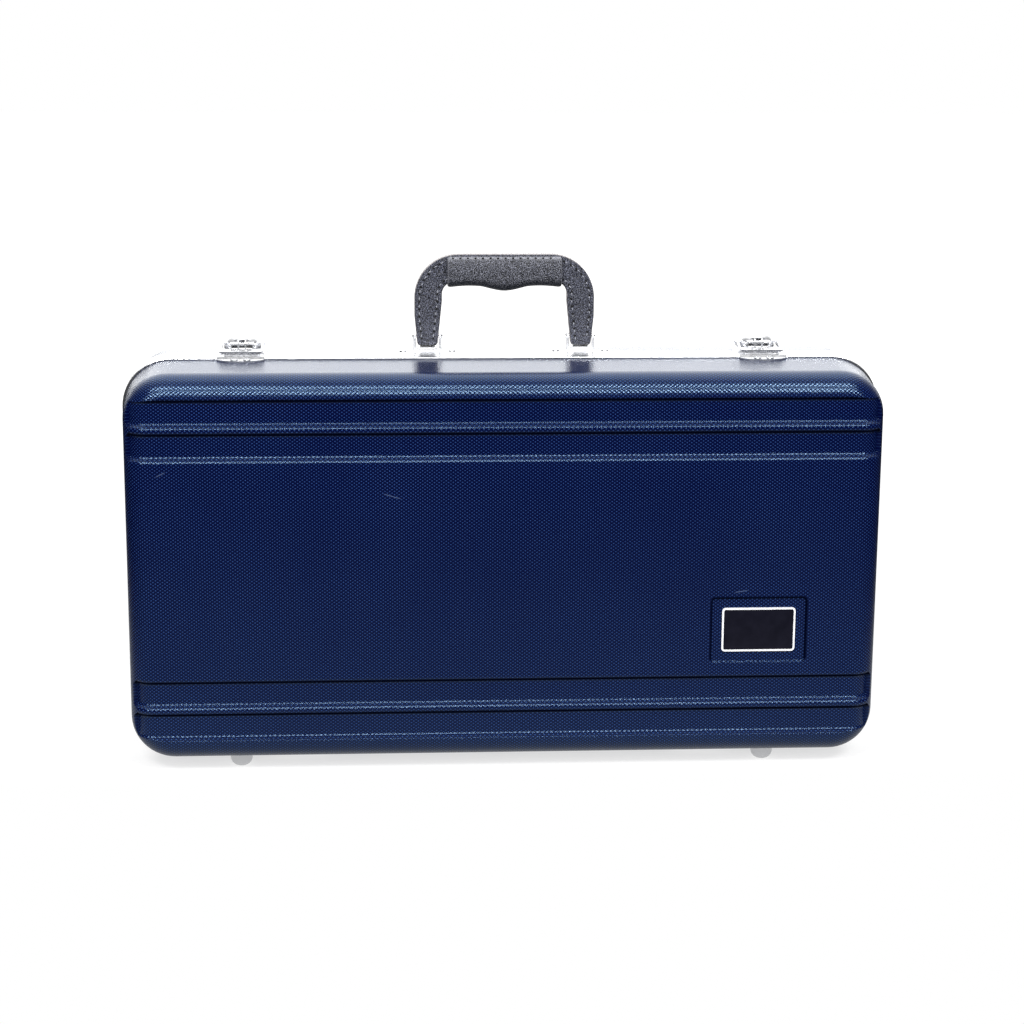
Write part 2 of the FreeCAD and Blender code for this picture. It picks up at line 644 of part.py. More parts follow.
def shell_form(name, front):
    """The grooved outer form of a half, and the form of its inside."""
    side = -1 if front else 1
    outer = half_form(name + "_outer", front, "0", "half_depth", "face_fillet")
    inner = half_form(name + "_inner", front, "wall", "(half_depth - wall)", "face_fillet - wall")
    if front:
        recess = rounded_rectangle(
            sketch_on(outer, "XZ_Plane", "half_depth"), "badge_across - recess_length / 2",
            "shell_low + badge_up - recess_height / 2", "badge_across + recess_length / 2",
            "shell_low + badge_up + recess_height / 2", "recess_corner")
        pocket(outer, recess, "recess_depth")
    grooves = [groove_form(f"{name}_groove_{i}", side, middle)
               for i, middle in enumerate(groove_middles())]
    # Behind a pair of grooves the wall stands further in, by the depth of the grooves
    backs = []
    pair = "(groove_width + groove_rib / 2)"
    for i, middle in enumerate((f"shell_low + groove_inset + {pair}",
                                f"shell_top - (groove_inset + {pair})")):
        back = new_body(f"{name}_back_{i}")
        band = face_band(sketch_on(back, "XY_Plane", middle), side, "groove_depth + wall",
                         "groove_turn + groove_back_turn")
        pad(back, band, f"2 * {pair} + 2 * wall", middle=True)
        backs.append(back)
    grooved = combine("Cut", name + "_grooved", outer, fuse(name + "_grooves", grooves))
    doc.recompute()
    rounded = doc.addObject("Part::Fillet", name + "_rims")
    rounded.Base = grooved
    face = side * size("half_depth")
    rim_round = size("groove_rim_round")
    heights = [size(middle) + turn * size("groove_width / 2")
               for middle in groove_middles() for turn in (-1, 1)]
    rounded.Edges = [(number, rim_round, rim_round)
                     for number, edge in enumerate(grooved.Shape.Edges, 1)
                     if flat_at(edge, "Y", face) and along(edge, "X")
                     and min(abs(edge.BoundBox.ZMin - height) for height in heights) < 0.01]
    return rounded, combine("Cut", name + "_room", inner, fuse(name + "_backs", backs))


lid_form, lid_inside = shell_form("lid_form", front=True)
base_form, base_inside = shell_form("base_form", front=False)


# Shared shapes

def rod(name, radius, x, y, z, length):
    """A round bar along X that starts at x."""
    return place(cylinder(name, radius, length, "x"), x, y, z)


def ellipsoid(name, x_radius, y_radius, z_radius, x, y, z):
    ball = doc.addObject("Part::Ellipsoid", name)
    bind(ball, "Radius1", z_radius)
    bind(ball, "Radius2", x_radius)
    bind(ball, "Radius3", y_radius)
    return place(ball, x, y, z)


def side_profile(name, across, corners, width, front=False):
    """A body with a side outline given as (depth, height) corners, centred at across."""
    side = -1 if front else 1
    body = new_body(name)
    sketch = sketch_on(body, "YZ_Plane", across)
    polygon(sketch, [(f"{side} * ({depth})", height) for depth, height in corners])
    pad(body, sketch, width, middle=True)
    return body


def front_profile(name, corners, start, length, front):
    """A body with a front outline given as (x, z) corners, from one depth over a length."""
    side = 1 if front else -1
    body = new_body(name)
    polygon(sketch_on(body, "XZ_Plane", f"{side} * ({start})"), corners)
    pad(body, body.Group[-1], length, reverse=not front)
    return body


def draped(name, across, width, start, reach, thickness, front, top):
    """A plate that lies on the valance, steps down beside it and follows the skin."""
    bend = f"({thickness}) / 2"
    return side_profile(name, across, (
        (start, rim("0", top)),
        ("step_start", rim("0", top)),
        ("step_end", skin("step_end", "0", top)),
        (reach, skin(reach, "0", top)),
        (reach, skin(reach, thickness, top)),
        (f"step_end + {bend}", skin(f"step_end + {bend}", thickness, top)),
        (f"step_start + {bend}", rim(thickness, top)),
        (start, rim(thickness, top)),
    ), width, front)


lid_holes = []
base_holes = []


# Hinges. The base has the two outer knuckles of each hinge and the lid the middle one.

hinge_rivets = {"lid": [], "base": []}
hinge_holes = {"lid": {}, "base": {}}
for word, sign in (("left", "-1"), ("right", "1")):
    for half in ("lid", "base"):
        front = half == "lid"
        spots = [(f"{sign} * hinge_across + {turn} * hinge_rivet_across", "hinge_rivet_depth")
                 for turn in ("-1", "1")]
        heads, holes = rivets(f"{half}_hinge_rivet_{word}", spots, front, False,
                              "hinge_leaf_thickness")
        hinge_rivets[half].append(heads)
        (lid_holes if front else base_holes).extend(holes)
        leaf = draped(f"{half}_leaf_{word}", f"{sign} * hinge_across", "hinge_length",
                      "seam_gap", "hinge_leaf_reach", "hinge_leaf_thickness", front, False)
        end = size("hinge_leaf_reach") * (-1 if front else 1)
        round_edges(leaf, "hinge_leaf_corner", lambda edge: upright(edge) and flat_at(edge, "Y", end))
        middle = f"{sign} * hinge_across - knuckle_length / 2"
        outer = [f"{middle} - knuckle_length - knuckle_gap", f"{middle} + knuckle_length + knuckle_gap"]
        own, other = ([middle], outer) if front else (outer, [middle])
        notches = [
            rod(f"{half}_notch_{word}_{i}", "knuckle_radius + knuckle_gap", f"{x} - knuckle_gap", "0",
                "hinge_height", "knuckle_length + 2 * knuckle_gap")
            for i, x in enumerate(other)]
        clear = [
            box(f"{half}_clear_{word}_{i}", f"{x} - knuckle_gap", "0 - knuckle_radius - knuckle_gap",
                "hinge_height", "knuckle_length + 2 * knuckle_gap",
                "2 * (knuckle_radius + knuckle_gap)", "knuckle_radius + 2 * knuckle_gap")
            for i, x in enumerate(other)]
        knuckles = [rod(f"{half}_knuckle_{word}_{i}", "knuckle_radius", x, "0", "hinge_height",
                        "knuckle_length") for i, x in enumerate(own)]
        notched = combine("Cut", f"{half}_notched_{word}", leaf,
                          fuse(f"{half}_notches_{word}", notches + clear))
        bore = rod(f"{half}_bore_{word}", "hinge_bore",
                   f"{sign} * hinge_across - hinge_length / 2 - 1", "0", "hinge_height",
                   "hinge_length + 2")
        whole = fuse(f"{half}_whole_{word}", [notched] + knuckles)
        piece = combine("Cut", f"{half}_hinge_{word}", whole,
                        group(f"{half}_cuts_{word}", [bore] + holes))
        sub_part(piece, f"{half}_hinge_leaf_{word}")
pins = [rod(f"hinge_pin_{word}", "hinge_pin_radius", f"{sign} * hinge_across - hinge_length / 2", "0",
            "hinge_height", "hinge_length") for word, sign in (("left", "-1"), ("right", "1"))]
sub_part(group("hinge_pins", pins), "hinge_pins")
for half in ("lid", "base"):
    sub_part(group(f"{half}_hinge_rivet_set", hinge_rivets[half]), f"{half}_hinge_rivets")


# Latches. A domed lever turns on a pin in the ears of its plate and draws a link over the catch.

latch_rivets, catch_rivets, lever_pins = [], [], []
for word, sign in (("left", "-1"), ("right", "1")):
    centre = f"{sign} * latch_across"
    turns = ("-1", "1")
    spots = [(f"{centre} + {turn} * latch_rivet_across", "latch_rivet_depth") for turn in turns]
    heads, holes = rivets(f"latch_rivet_{word}", spots, False, True, "latch_thickness")
    latch_rivets.append(heads)
    base_holes.extend(holes)
    plate = draped(f"latch_plate_{word}_sheet", centre, "latch_width", "latch_start", "latch_reach",
                   "latch_thickness", False, True)
    rear = size("latch_reach")
    round_edges(plate, "latch_corner", lambda edge: upright(edge) and flat_at(edge, "Y", rear))
    ears = []
    for turn in turns:
        ear_middle = f"{centre} + {turn} * ear_across"
        ears.append(side_profile(f"ear_{word}_{len(ears)}", ear_middle, (
            ("pivot_depth - ear_radius", "valance_top + latch_thickness / 3"),
            ("step_start + latch_thickness / 2", "valance_top + latch_thickness / 3"),
            ("step_end + latch_thickness", skin("step_end + latch_thickness", "latch_thickness / 2")),
            ("pivot_depth + ear_radius", skin("pivot_depth + ear_radius", "latch_thickness / 2")),
            ("pivot_depth + ear_radius", "pivot_height"),
            ("pivot_depth - ear_radius", "pivot_height"),
        ), "ear_thickness"))
        ears.append(rod(f"ear_top_{word}_{len(ears)}", "ear_radius",
                        f"{ear_middle} - ear_thickness / 2", "pivot_depth", "pivot_height",
                        "ear_thickness"))
    ear_bore = rod(f"ear_bore_{word}", "pivot_bore", f"{centre} - pivot_reach", "pivot_depth",
                   "pivot_height", "2 * pivot_reach")
    whole = fuse(f"latch_plate_whole_{word}", [plate] + ears)
    piece = combine("Cut", f"latch_plate_piece_{word}", whole,
                    group(f"latch_plate_cuts_{word}", [ear_bore] + holes))
    sub_part(piece, f"latch_plate_{word}")
    lever_pins.append(rod(f"lever_pin_{word}", "pivot_radius", f"{centre} - pivot_reach",
                          "pivot_depth", "pivot_height", "2 * pivot_reach"))

    dome = ellipsoid(f"dome_{word}", "dome_half_width", "dome_half_depth", "dome_height",
                     centre, "dome_depth", "dome_middle")
    rear_end = "dome_depth + dome_half_depth + 1"
    kept = side_profile(f"dome_kept_{word}", centre, (
        ("pivot_depth", "valance_top + dome_low_front"),
        (rear_end, "valance_top - dome_low_rear"),
        (rear_end, "dome_middle + dome_height + 1"),
        ("0", "dome_middle + dome_height + 1"),
        ("0", "pivot_height"),
        ("pivot_depth", "pivot_height"),
    ), "2 * dome_half_width + 2")
    nose = rod(f"nose_{word}", "nose_radius", f"{centre} - dome_half_width - 1", "pivot_depth",
               "pivot_height", "2 * dome_half_width + 2")
    outer_dome = combine("Common", f"dome_outer_{word}", dome, fuse(f"dome_form_{word}", [kept, nose]))
    hollow = ellipsoid(f"hollow_{word}", "dome_half_width - dome_wall", "dome_half_depth - dome_wall",
                       "dome_height - dome_wall", centre, "dome_depth", "dome_middle")
    mouth = box(f"mouth_{word}", f"{centre} - mouth_half_width", "0", "valance_top - 4",
                "2 * mouth_half_width", "dome_depth + dome_half_depth", "dome_height + 8")
    inside = combine("Common", f"inside_{word}", hollow, mouth)
    slot = box(f"slot_{word}", f"{centre} - mouth_half_width", "0", "valance_top - 2",
               "2 * mouth_half_width", "pivot_depth", "pivot_rise + mouth_rise + 2")
    lower = box(f"lower_{word}", f"{centre} - mouth_half_width", "pivot_depth - 1", "valance_top - 4",
                "2 * mouth_half_width", "dome_depth + dome_half_depth - dome_wall - pivot_depth - 3",
                "dome_rise + 4.5")
    stub_bores = [
        rod(f"stub_bore_{word}_{turn}", "pivot_bore",
            f"{centre} + {turn} * link_pin_inner - (1 - {turn}) / 2 * (link_outer - link_pin_inner)",
            "link_depth", "link_height", "link_outer - link_pin_inner") for turn in turns]
    ear_room = rod(f"ear_room_{word}", "ear_radius + ear_gap",
                   f"{centre} - ear_across - ear_thickness / 2 - ear_gap", "pivot_depth",
                   "pivot_height", "2 * ear_across + ear_thickness + 2 * ear_gap")
    lever_bore = rod(f"lever_bore_{word}", "pivot_bore", f"{centre} - dome_half_width",
                     "pivot_depth", "pivot_height", "2 * dome_half_width")
    lever = combine("Cut", f"lever_{word}", outer_dome,
                    fuse(f"lever_cuts_{word}",
                         [inside, slot, lower, ear_room, lever_bore] + stub_bores))
    sub_part(lever, f"latch_lever_{word}")

    link_pins, arms = [], []
    for turn in turns:
        flip = f"(1 - {turn}) / 2"
        link_pins.append(fuse(f"link_pin_{word}_{turn}", [
            rod(f"link_stub_{word}_{turn}", "pivot_radius",
                f"{centre} + {turn} * link_pin_inner - {flip} * (link_outer + 0.2 - link_pin_inner)",
                "link_depth", "link_height", "link_outer + 0.2 - link_pin_inner"),
            rod(f"link_head_{word}_{turn}", "link_pin_head",
                f"{centre} + {turn} * (link_outer + 0.15) - {flip} * link_pin_cap",
                "link_depth", "link_height", "link_pin_cap"),
        ]))
        arm_middle = f"{centre} + {turn} * (link_inner + link_outer) / 2"
        arm_width = "link_outer - link_inner"
        arms.append(side_profile(f"arm_{word}_{len(arms)}", arm_middle, (
            ("hasp_rear - 1", "valance_top + hasp_rise"),
            ("link_depth", "link_height - link_eye"),
            ("link_depth", "link_height + link_eye"),
            ("hasp_rear - 1", "valance_top + hasp_rise + hasp_thickness"),
        ), arm_width))
        arms.append(rod(f"arm_eye_{word}_{len(arms)}", "link_eye",
                        f"{arm_middle} - ({arm_width}) / 2", "link_depth", "link_height", arm_width))
    hasp = new_body(f"hasp_{word}")
    face = sketch_on(hasp, "XY_Plane", "valance_top + hasp_rise")
    polygon(face, ((f"{centre} - link_outer", "0 - hasp_front"), (f"{centre} + link_outer", "0 - hasp_front"),
                   (f"{centre} + link_outer", "hasp_rear"), (f"{centre} - link_outer", "hasp_rear")))
    pad(hasp, face, "hasp_thickness")
    ahead = -size("hasp_front")
    round_edges(hasp, "hasp_corner", lambda edge: upright(edge) and flat_at(edge, "Y", ahead))
    windows = [
        box(f"window_{word}_{i}", f"{centre} + {i - 1} * window_pitch - window_length / 2",
            "0 - window_width", "valance_top + hasp_rise - 1", "window_length", "window_width",
            "hasp_thickness + 2") for i in range(3)]
    eye_bore = rod(f"eye_bore_{word}", "pivot_bore", f"{centre} - link_outer - 1", "link_depth",
                   "link_height", "2 * link_outer + 2")
    whole = fuse(f"link_whole_{word}", [hasp] + arms)
    piece = combine("Cut", f"link_piece_{word}", whole,
                    group(f"link_cuts_{word}", [eye_bore] + windows))
    sub_part(piece, f"latch_link_{word}")
    sub_part(group(f"link_pin_pair_{word}", link_pins), f"latch_link_pins_{word}")

    spots = [(f"{centre} + {turn} * latch_rivet_across", "catch_rivet_depth") for turn in turns]
    heads, holes = rivets(f"catch_rivet_{word}", spots, True, True, "catch_thickness")
    catch_rivets.append(heads)
    lid_holes.extend(holes)
    sheet_form = draped(f"catch_sheet_{word}", centre, "latch_width", "latch_start", "catch_reach",
                        "catch_thickness", True, True)
    curve = place(cylinder(f"catch_curve_{word}", "catch_radius", "20"), centre, "catch_centre",
                  "shell_top - 10")
    trimmed = combine("Common", f"catch_trimmed_{word}", sheet_form, curve)
    ridge = box(f"ridge_{word}", f"{centre} - ridge_half_length", "0 - ridge_front",
                "valance_top + catch_thickness / 2", "2 * ridge_half_length",
                "ridge_front - ridge_rear", "ridge_rise - catch_thickness / 2")
    whole = fuse(f"catch_whole_{word}", [trimmed, ridge])
    piece = combine("Cut", f"catch_piece_{word}", whole, group(f"catch_cuts_{word}", holes))
    sub_part(piece, f"latch_catch_{word}")
sub_part(group("latch_rivet_set", latch_rivets), "latch_plate_rivets")
sub_part(group("catch_rivet_set", catch_rivets), "latch_catch_rivets")
sub_part(group("lever_pin_set", lever_pins), "latch_lever_pins")


# Handle. Its two yokes turn in tubes on the plates, and pins hold the leather legs to the yokes.

handle_rivets, handle_pins = [], []
for word, sign in (("left", "-1"), ("right", "1")):
    centre = f"handle_shift + {sign} * handle_across"
    turns = ("-1", "1")
    spots = [(f"{centre} + {turn} * handle_rivet_across", "handle_depth") for turn in turns]
    heads, holes = rivets(f"handle_rivet_{word}", spots, False, True, "handle_plate_thickness")
    handle_rivets.append(heads)
    base_holes.extend(holes)
    front_edge, rear_edge = "handle_plate_front", "handle_plate_rear"
    plate = side_profile(f"handle_plate_sheet_{word}", centre, (
        (front_edge, skin(front_edge)), (rear_edge, skin(rear_edge)),
        (rear_edge, skin(rear_edge, "handle_plate_thickness")),
        (front_edge, skin(front_edge, "handle_plate_thickness")),
    ), "handle_plate_length")
    round_edges(plate, "handle_plate_corner", upright)
    tube = rod(f"saddle_{word}", "saddle_radius", f"{centre} - saddle_length / 2", "handle_depth",
               "handle_height", "saddle_length")
    bore = rod(f"saddle_bore_{word}", "wire_radius + pin_clearance", f"{centre} - saddle_length",
               "handle_depth", "handle_height", "2 * saddle_length")
    whole = fuse(f"handle_plate_whole_{word}", [plate, tube])
    piece = combine("Cut", f"handle_plate_piece_{word}", whole,
                    group(f"handle_plate_cuts_{word}", [bore] + holes))
    sub_part(piece, f"handle_plate_{word}")

    wires = [rod(f"yoke_bar_{word}", "wire_radius", f"{centre} - yoke_across", "handle_depth",
                 "handle_height", "2 * yoke_across")]
    for turn in turns:
        arm_x = f"{centre} + {turn} * yoke_across"
        wires.append(place(cylinder(f"yoke_arm_{word}_{turn}", "wire_radius",
                                    "handle_pin_height - handle_height"),
                           arm_x, "handle_depth", "handle_height"))
        corner = doc.addObject("Part::Sphere", f"yoke_corner_{word}_{turn}")
        bind(corner, "Radius", "wire_radius")
        wires.append(place(corner, arm_x, "handle_depth", "handle_height"))
        wires.append(rod(f"yoke_eye_{word}_{turn}", "eye_radius", f"{arm_x} - eye_length / 2",
                         "handle_depth", "handle_pin_height", "eye_length"))
    eye_bore = rod(f"yoke_bore_{word}", "handle_bore", f"{centre} - yoke_across - eye_length",
                   "handle_depth", "handle_pin_height", "2 * (yoke_across + eye_length)")
    piece = combine("Cut", f"yoke_{word}", fuse(f"yoke_whole_{word}", wires), eye_bore)
    sub_part(piece, f"handle_yoke_{word}")
    pin = [rod(f"handle_pin_shank_{word}", "handle_pin_radius", f"{centre} - handle_pin_reach",
               "handle_depth", "handle_pin_height", "2 * handle_pin_reach"),
           rod(f"handle_pin_first_{word}", "handle_pin_head",
               f"{centre} - handle_pin_reach - handle_pin_cap", "handle_depth", "handle_pin_height",
               "handle_pin_cap"),
           rod(f"handle_pin_last_{word}", "handle_pin_head", f"{centre} + handle_pin_reach",
               "handle_depth", "handle_pin_height", "handle_pin_cap")]
    handle_pins.append(fuse(f"handle_pin_{word}", pin))
sub_part(group("handle_rivet_set", handle_rivets), "handle_plate_rivets")
sub_part(group("handle_pin_set", handle_pins), "handle_pins")


def bow(inset):
    """The handle's front outline as (x, z) corners, moved inwards by a formula."""
    right = (
        (f"cover_half_length - ({inset})", f"shell_top + cover_rise - ({inset})"),
        (f"cover_half_length - ({inset})", "shell_top + leg_shoulder"),
        (f"leg_outer - ({inset})", f"shell_top + leg_rise + ({inset})"),
        (f"leg_inner + ({inset})", f"shell_top + leg_rise + ({inset})"),
        (f"window_half_length + ({inset})", "shell_top + window_shoulder"),
        (f"window_half_length + ({inset})", f"shell_top + window_rise + ({inset})"),
    )
    left = tuple((f"0 - ({x})", z) for x, z in reversed(right))
    return tuple((f"handle_shift + {x}", z) for x, z in right + left)


def near(edge, x, z):
    """Whether an edge along Y passes a point on either side of the handle's middle."""
    spot = edge.BoundBox.Center
    across = abs(spot.x - size("handle_shift"))
    return along(edge, "Y") and abs(across - size(x)) < 0.01 and abs(spot.z - size(z)) < 0.01


strap = front_profile("strap", bow("0"), "handle_depth - cover_thickness / 2", "cover_thickness", False)
round_edges(strap, "cover_outer_round",
            lambda edge: near(edge, "cover_half_length", "shell_top + cover_rise"))
round_edges(strap, "cover_inner_round",
            lambda edge: near(edge, "window_half_length", "shell_top + window_rise"))
foot_line = size("shell_top + leg_rise")
round_edges(strap, "leg_round",
            lambda edge: along(edge, "Y") and abs(edge.BoundBox.Center.z - foot_line) < 0.01)
faces = (size("handle_depth - cover_thickness / 2"), size("handle_depth + cover_thickness / 2"))
round_edges(strap, "cover_edge_round",
            lambda edge: flat_at(edge, "Y", faces[0]) or flat_at(edge, "Y", faces[1]))
core = front_profile("core_form", bow("core_inset"), "handle_depth - core_thickness / 2",
                     "core_thickness", False)
round_edges(core, "cover_outer_round - core_inset",
            lambda edge: near(edge, "cover_half_length - core_inset",
                              "shell_top + cover_rise - core_inset"))
leg_bore = rod("leg_bore", "handle_bore", "handle_shift - cover_half_length - 5", "handle_depth",
               "handle_pin_height", "2 * cover_half_length + 10")
core_piece = sub_part(combine("Cut", "core_piece", core, leg_bore), "handle_core")
sub_part(combine("Cut", "cover_piece", strap, fuse("cover_cuts", [core, leg_bore])), "handle_cover")

# The padded grip is sewn over the strap from below, so it is cut where the strap passes
roll = box("grip_block", "handle_shift - grip_half_length", "handle_depth - grip_depth / 2",
           "shell_top + grip_rise", "2 * grip_half_length", "grip_depth", "cover_rise - grip_rise")
long_round = doc.addObject("Part::Fillet", "grip_rounded")
doc.recompute()
long_round.Base = roll
long_round.Edges = [(number, size("grip_round"), size("grip_round"))
                    for number, edge in enumerate(roll.Shape.Edges, 1) if along(edge, "X")]
doc.recompute()
ends = doc.addObject("Part::Fillet", "grip_ends")
ends.Base = long_round
grip_ends = [size(f"handle_shift + {sign} * grip_half_length") for sign in (-1, 1)]
ends.Edges = [(number, size("grip_end_round"), size("grip_end_round"))
              for number, edge in enumerate(long_round.Shape.Edges, 1)
              if flat_at(edge, "X", grip_ends[0]) or flat_at(edge, "X", grip_ends[1])]
belly = ellipsoid("grip_belly", "belly_half_length", "belly_half_depth", "belly_height",
                  "handle_shift", "handle_depth", "shell_top + belly_rise + belly_height")
passage = front_profile("grip_passage", bow("0 - grip_clearance"),
                        "handle_depth - cover_thickness / 2 - grip_clearance",
                        "cover_thickness + 2 * grip_clearance", False)
round_edges(passage, "cover_inner_round - grip_clearance",
            lambda edge: near(edge, "window_half_length - grip_clearance",
                              "shell_top + window_rise - grip_clearance"))
sub_part(combine("Cut", "grip_piece", fuse("grip_whole", [ends, belly]), passage), "handle_grip")


# Badge: a bare plate inside a bright rim, in its recess

def badge_outline(sketch, inward):
    low = f"shell_low + badge_up - badge_height / 2 + ({inward})"
    high = f"shell_low + badge_up + badge_height / 2 - ({inward})"
    return rounded_rectangle(sketch, f"badge_across - badge_length / 2 + ({inward})", low,
                             f"badge_across + badge_length / 2 - ({inward})", high,
                             f"badge_corner - ({inward})")


badge_rim = new_body("badge_rim_form")
rim_sketch = badge_outline(sketch_on(badge_rim, "XZ_Plane", "half_depth - recess_depth"), "0")
badge_outline(rim_sketch, "badge_rim_width")
pad(badge_rim, rim_sketch, "badge_rim_thickness")
sub_part(badge_rim, "badge_rim")
badge_plate = new_body("badge_plate_form")
plate_sketch = badge_outline(sketch_on(badge_plate, "XZ_Plane", "half_depth - recess_depth"),
                             "badge_rim_width + hole_clearance")
pad(badge_plate, plate_sketch, "badge_plate_thickness")
sub_part(badge_plate, "badge_plate")


# Feet: domed studs, each with a shank through the shell and a head inside

feet = {"lid": [], "base": []}
for half in ("lid", "base"):
    front = half == "lid"
    for word, sign in (("left", "-1"), ("right", "1")):
        name = f"{half}_foot_{word}"
        stud = new_body(name)
        inner = "foot_height + wall"
        profile = polygon(sketch_on(stud, "XZ_Plane"), (
            ("0", "0"), ("foot_diameter / 2", "0"), ("foot_diameter / 2", "foot_height + foot_bed"),
            ("foot_shank / 2", "foot_height + foot_bed"), ("foot_shank / 2", f"{inner} - foot_bed"),
            ("foot_washer / 2", f"{inner} - foot_bed"), ("foot_washer / 2", f"{inner} + foot_head"),
            ("0", f"{inner} + foot_head"),
        ))
        turned = stud.newObject("PartDesign::Revolution", name + "_turned")
        turned.Profile = profile
        turned.ReferenceAxis = (profile, ["V_Axis"])
        doc.recompute()
        round_edges(stud, "foot_round",
                    lambda edge: flat_at(edge, "Z", 0) and edge.BoundBox.XLength > 1)
        side = "-1" if front else "1"
        spot = (f"{sign} * foot_across", f"{side} * foot_depth", "0")
        feet[half].append(place(stud, *spot))
        hole = cylinder(name + "_hole", "foot_shank / 2 + hole_clearance", "3 * foot_height")
        (lid_holes if front else base_holes).append(place(hole, *spot))


# The shells, the valances that clip over their edges, and the feet cut to their skins

lid_hollow = combine("Cut", "lid_hollow", lid_form, lid_inside)
base_hollow = combine("Cut", "base_hollow", base_form, base_inside)
lid_shell = sub_part(combine("Cut", "lid_shell_piece", lid_hollow, group("lid_hole_set", lid_holes)),
                     "lid_shell")
base_shell = sub_part(
    combine("Cut", "base_shell_piece", base_hollow, group("base_hole_set", base_holes)), "base_shell")


def valance(name, front):
    side = 1 if front else -1
    start = "seam_gap" if front else "0"
    body = new_body(name)
    ring = outline(sketch_on(body, "XZ_Plane", f"{side} * {start}"), "0 - valance_proud")
    outline(ring, "wall + valance_lip")
    pad(body, ring, f"valance_width - {start}", reverse=not front)
    reach = size("half_length + valance_proud")
    low, high = size(rim("0", False)), size(rim("0", True))

    def outside(edge):
        box = edge.BoundBox
        return (max(box.XMax, -box.XMin) > reach - 1e-3 or box.ZMin < low + 1e-3
                or box.ZMax > high - 1e-3)

    free, parting = -side * size("valance_width"), -side * size(start)
    round_edges(body, "valance_round", lambda edge: flat_at(edge, "Y", free) and outside(edge))
    round_edges(body, "seam_round", lambda edge: flat_at(edge, "Y", parting) and outside(edge))
    slack = "tongue_clearance" if front else "0"
    tongue = outline(sketch_on(body, "XZ_Plane", f"{side} * {start}"), f"tongue_inset - {slack}")
    outline(tongue, f"tongue_inset + tongue_thickness + {slack}")
    if front:
        pocket(body, tongue, "tongue_length + tongue_clearance - seam_gap", reverse=True)
    else:
        pad(body, tongue, "tongue_length")
    return body


sub_part(combine("Cut", "lid_valance_piece", valance("lid_ring", True), lid_shell), "lid_valance")
sub_part(combine("Cut", "base_valance_piece", valance("base_ring", False), base_shell), "base_valance")
for half, shell in (("lid", lid_shell), ("base", base_shell)):
    cut = [combine("Cut", f"{stud.Name}_cut", stud, shell) for stud in feet[half]]
    sub_part(group(f"{half}_foot_set", cut), f"{half}_feet")


# Inside: the fitted insert of the base with its compartment, and the lid's liner and cushions

def lining(name, front, inset, reach, round_size):
    """A block that fills a half from the insert's front to a depth, inside an inset outline."""
    side = 1 if front else -1
    body = new_body(name)
    sketch = outline(sketch_on(body, "XZ_Plane", f"{side} * insert_start"), inset)
    pad(body, sketch, f"{reach} - insert_start", lean="-draft_angle", reverse=not front)
    back = -side * size(reach)
    round_edges(body, round_size, lambda edge: flat_at(edge, "Y", back))
    return body


bed_steps = (
    ("0 - bed_left", "bed_pipe_half"), ("0 - bed_block_left", "bed_pipe_half"),
    ("0 - bed_block_left", "bed_block_half"), ("bed_block_right", "bed_block_half"),
    ("bed_block_right", "bed_throat_half"), ("bed_right - 97", "bed_throat_half + 2"),
    ("bed_right - 57", "bed_throat_half + 9"), ("bed_right - 33", "bed_bell_half - 19"),
    ("bed_right - 17", "bed_bell_half - 4"), ("bed_right", "bed_bell_half"),
)
bed_outline = [(x, f"shell_low + bed_up - ({half})") for x, half in bed_steps]
bed_outline += [(x, f"shell_low + bed_up + {half}") for x, half in reversed(bed_steps)]
bed = front_profile("bed", bed_outline, "0", "bed_depth + insert_start", False)
round_edges(bed, "bed_round", lambda edge: along(edge, "Y"))
store = box("compartment_space", "0 - box_left", "0", "shell_low + box_low", "box_left - box_right",
            "bed_depth + insert_start", "box_high - box_low")
bores = [place(cylinder(f"mouthpiece_bore_{i}", "mouthpiece_diameter / 2", "mouthpiece_depth", "y"),
               f"mouthpiece_first + {i} * mouthpiece_pitch", "0", "shell_low + mouthpiece_up")
         for i in range(2)]
axis_y = "(insert_start + board_roll)"
axis_z = "(shell_low + board_axis_up)"
pin_left = "(0 - box_left + board_gap - board_pin_reach)"
pin_length = "(box_left - box_right - 2 * board_gap + 2 * board_pin_reach)"
board_pin = rod("board_pin_rod", "board_pin", pin_left, axis_y, axis_z, pin_length)
pin_seat = rod("board_pin_seat", "board_pin + pin_clearance", f"{pin_left} - 0.2", axis_y, axis_z,
               f"{pin_length} + 0.4")
insert = lining("insert_block", False, "insert_inset", "insert_reach", "insert_round")
sub_part(combine("Cut", "insert_piece", insert, fuse("insert_cuts", [bed, store, pin_seat] + bores)),
         "base_insert")
sub_part(board_pin, "compartment_hinge")

board_left = "(0 - box_left + board_gap)"
board_length = "(box_left - box_right - 2 * board_gap)"
board_top = "(shell_low + box_high - board_gap)"
board = box("board_sheet", board_left, "insert_start", axis_z, board_length, "board_thickness",
            f"{board_top} - {axis_z}")
roll_edge = rod("board_roll_edge", "board_roll", board_left, axis_y, axis_z, board_length)
board_bore = rod("board_bore", "board_pin + pin_clearance", f"{board_left} - 1", axis_y, axis_z,
                 f"{board_length} + 2")
sub_part(combine("Cut", "board_piece", fuse("board_whole", [board, roll_edge]), board_bore),
         "compartment_lid")
tab = box("tab_block", "0 - (box_left + box_right + tab_length) / 2", "insert_start - tab_thickness",
          f"{board_top} - tab_height", "tab_length", "tab_thickness", "tab_height")
sub_part(tab, "compartment_tab")

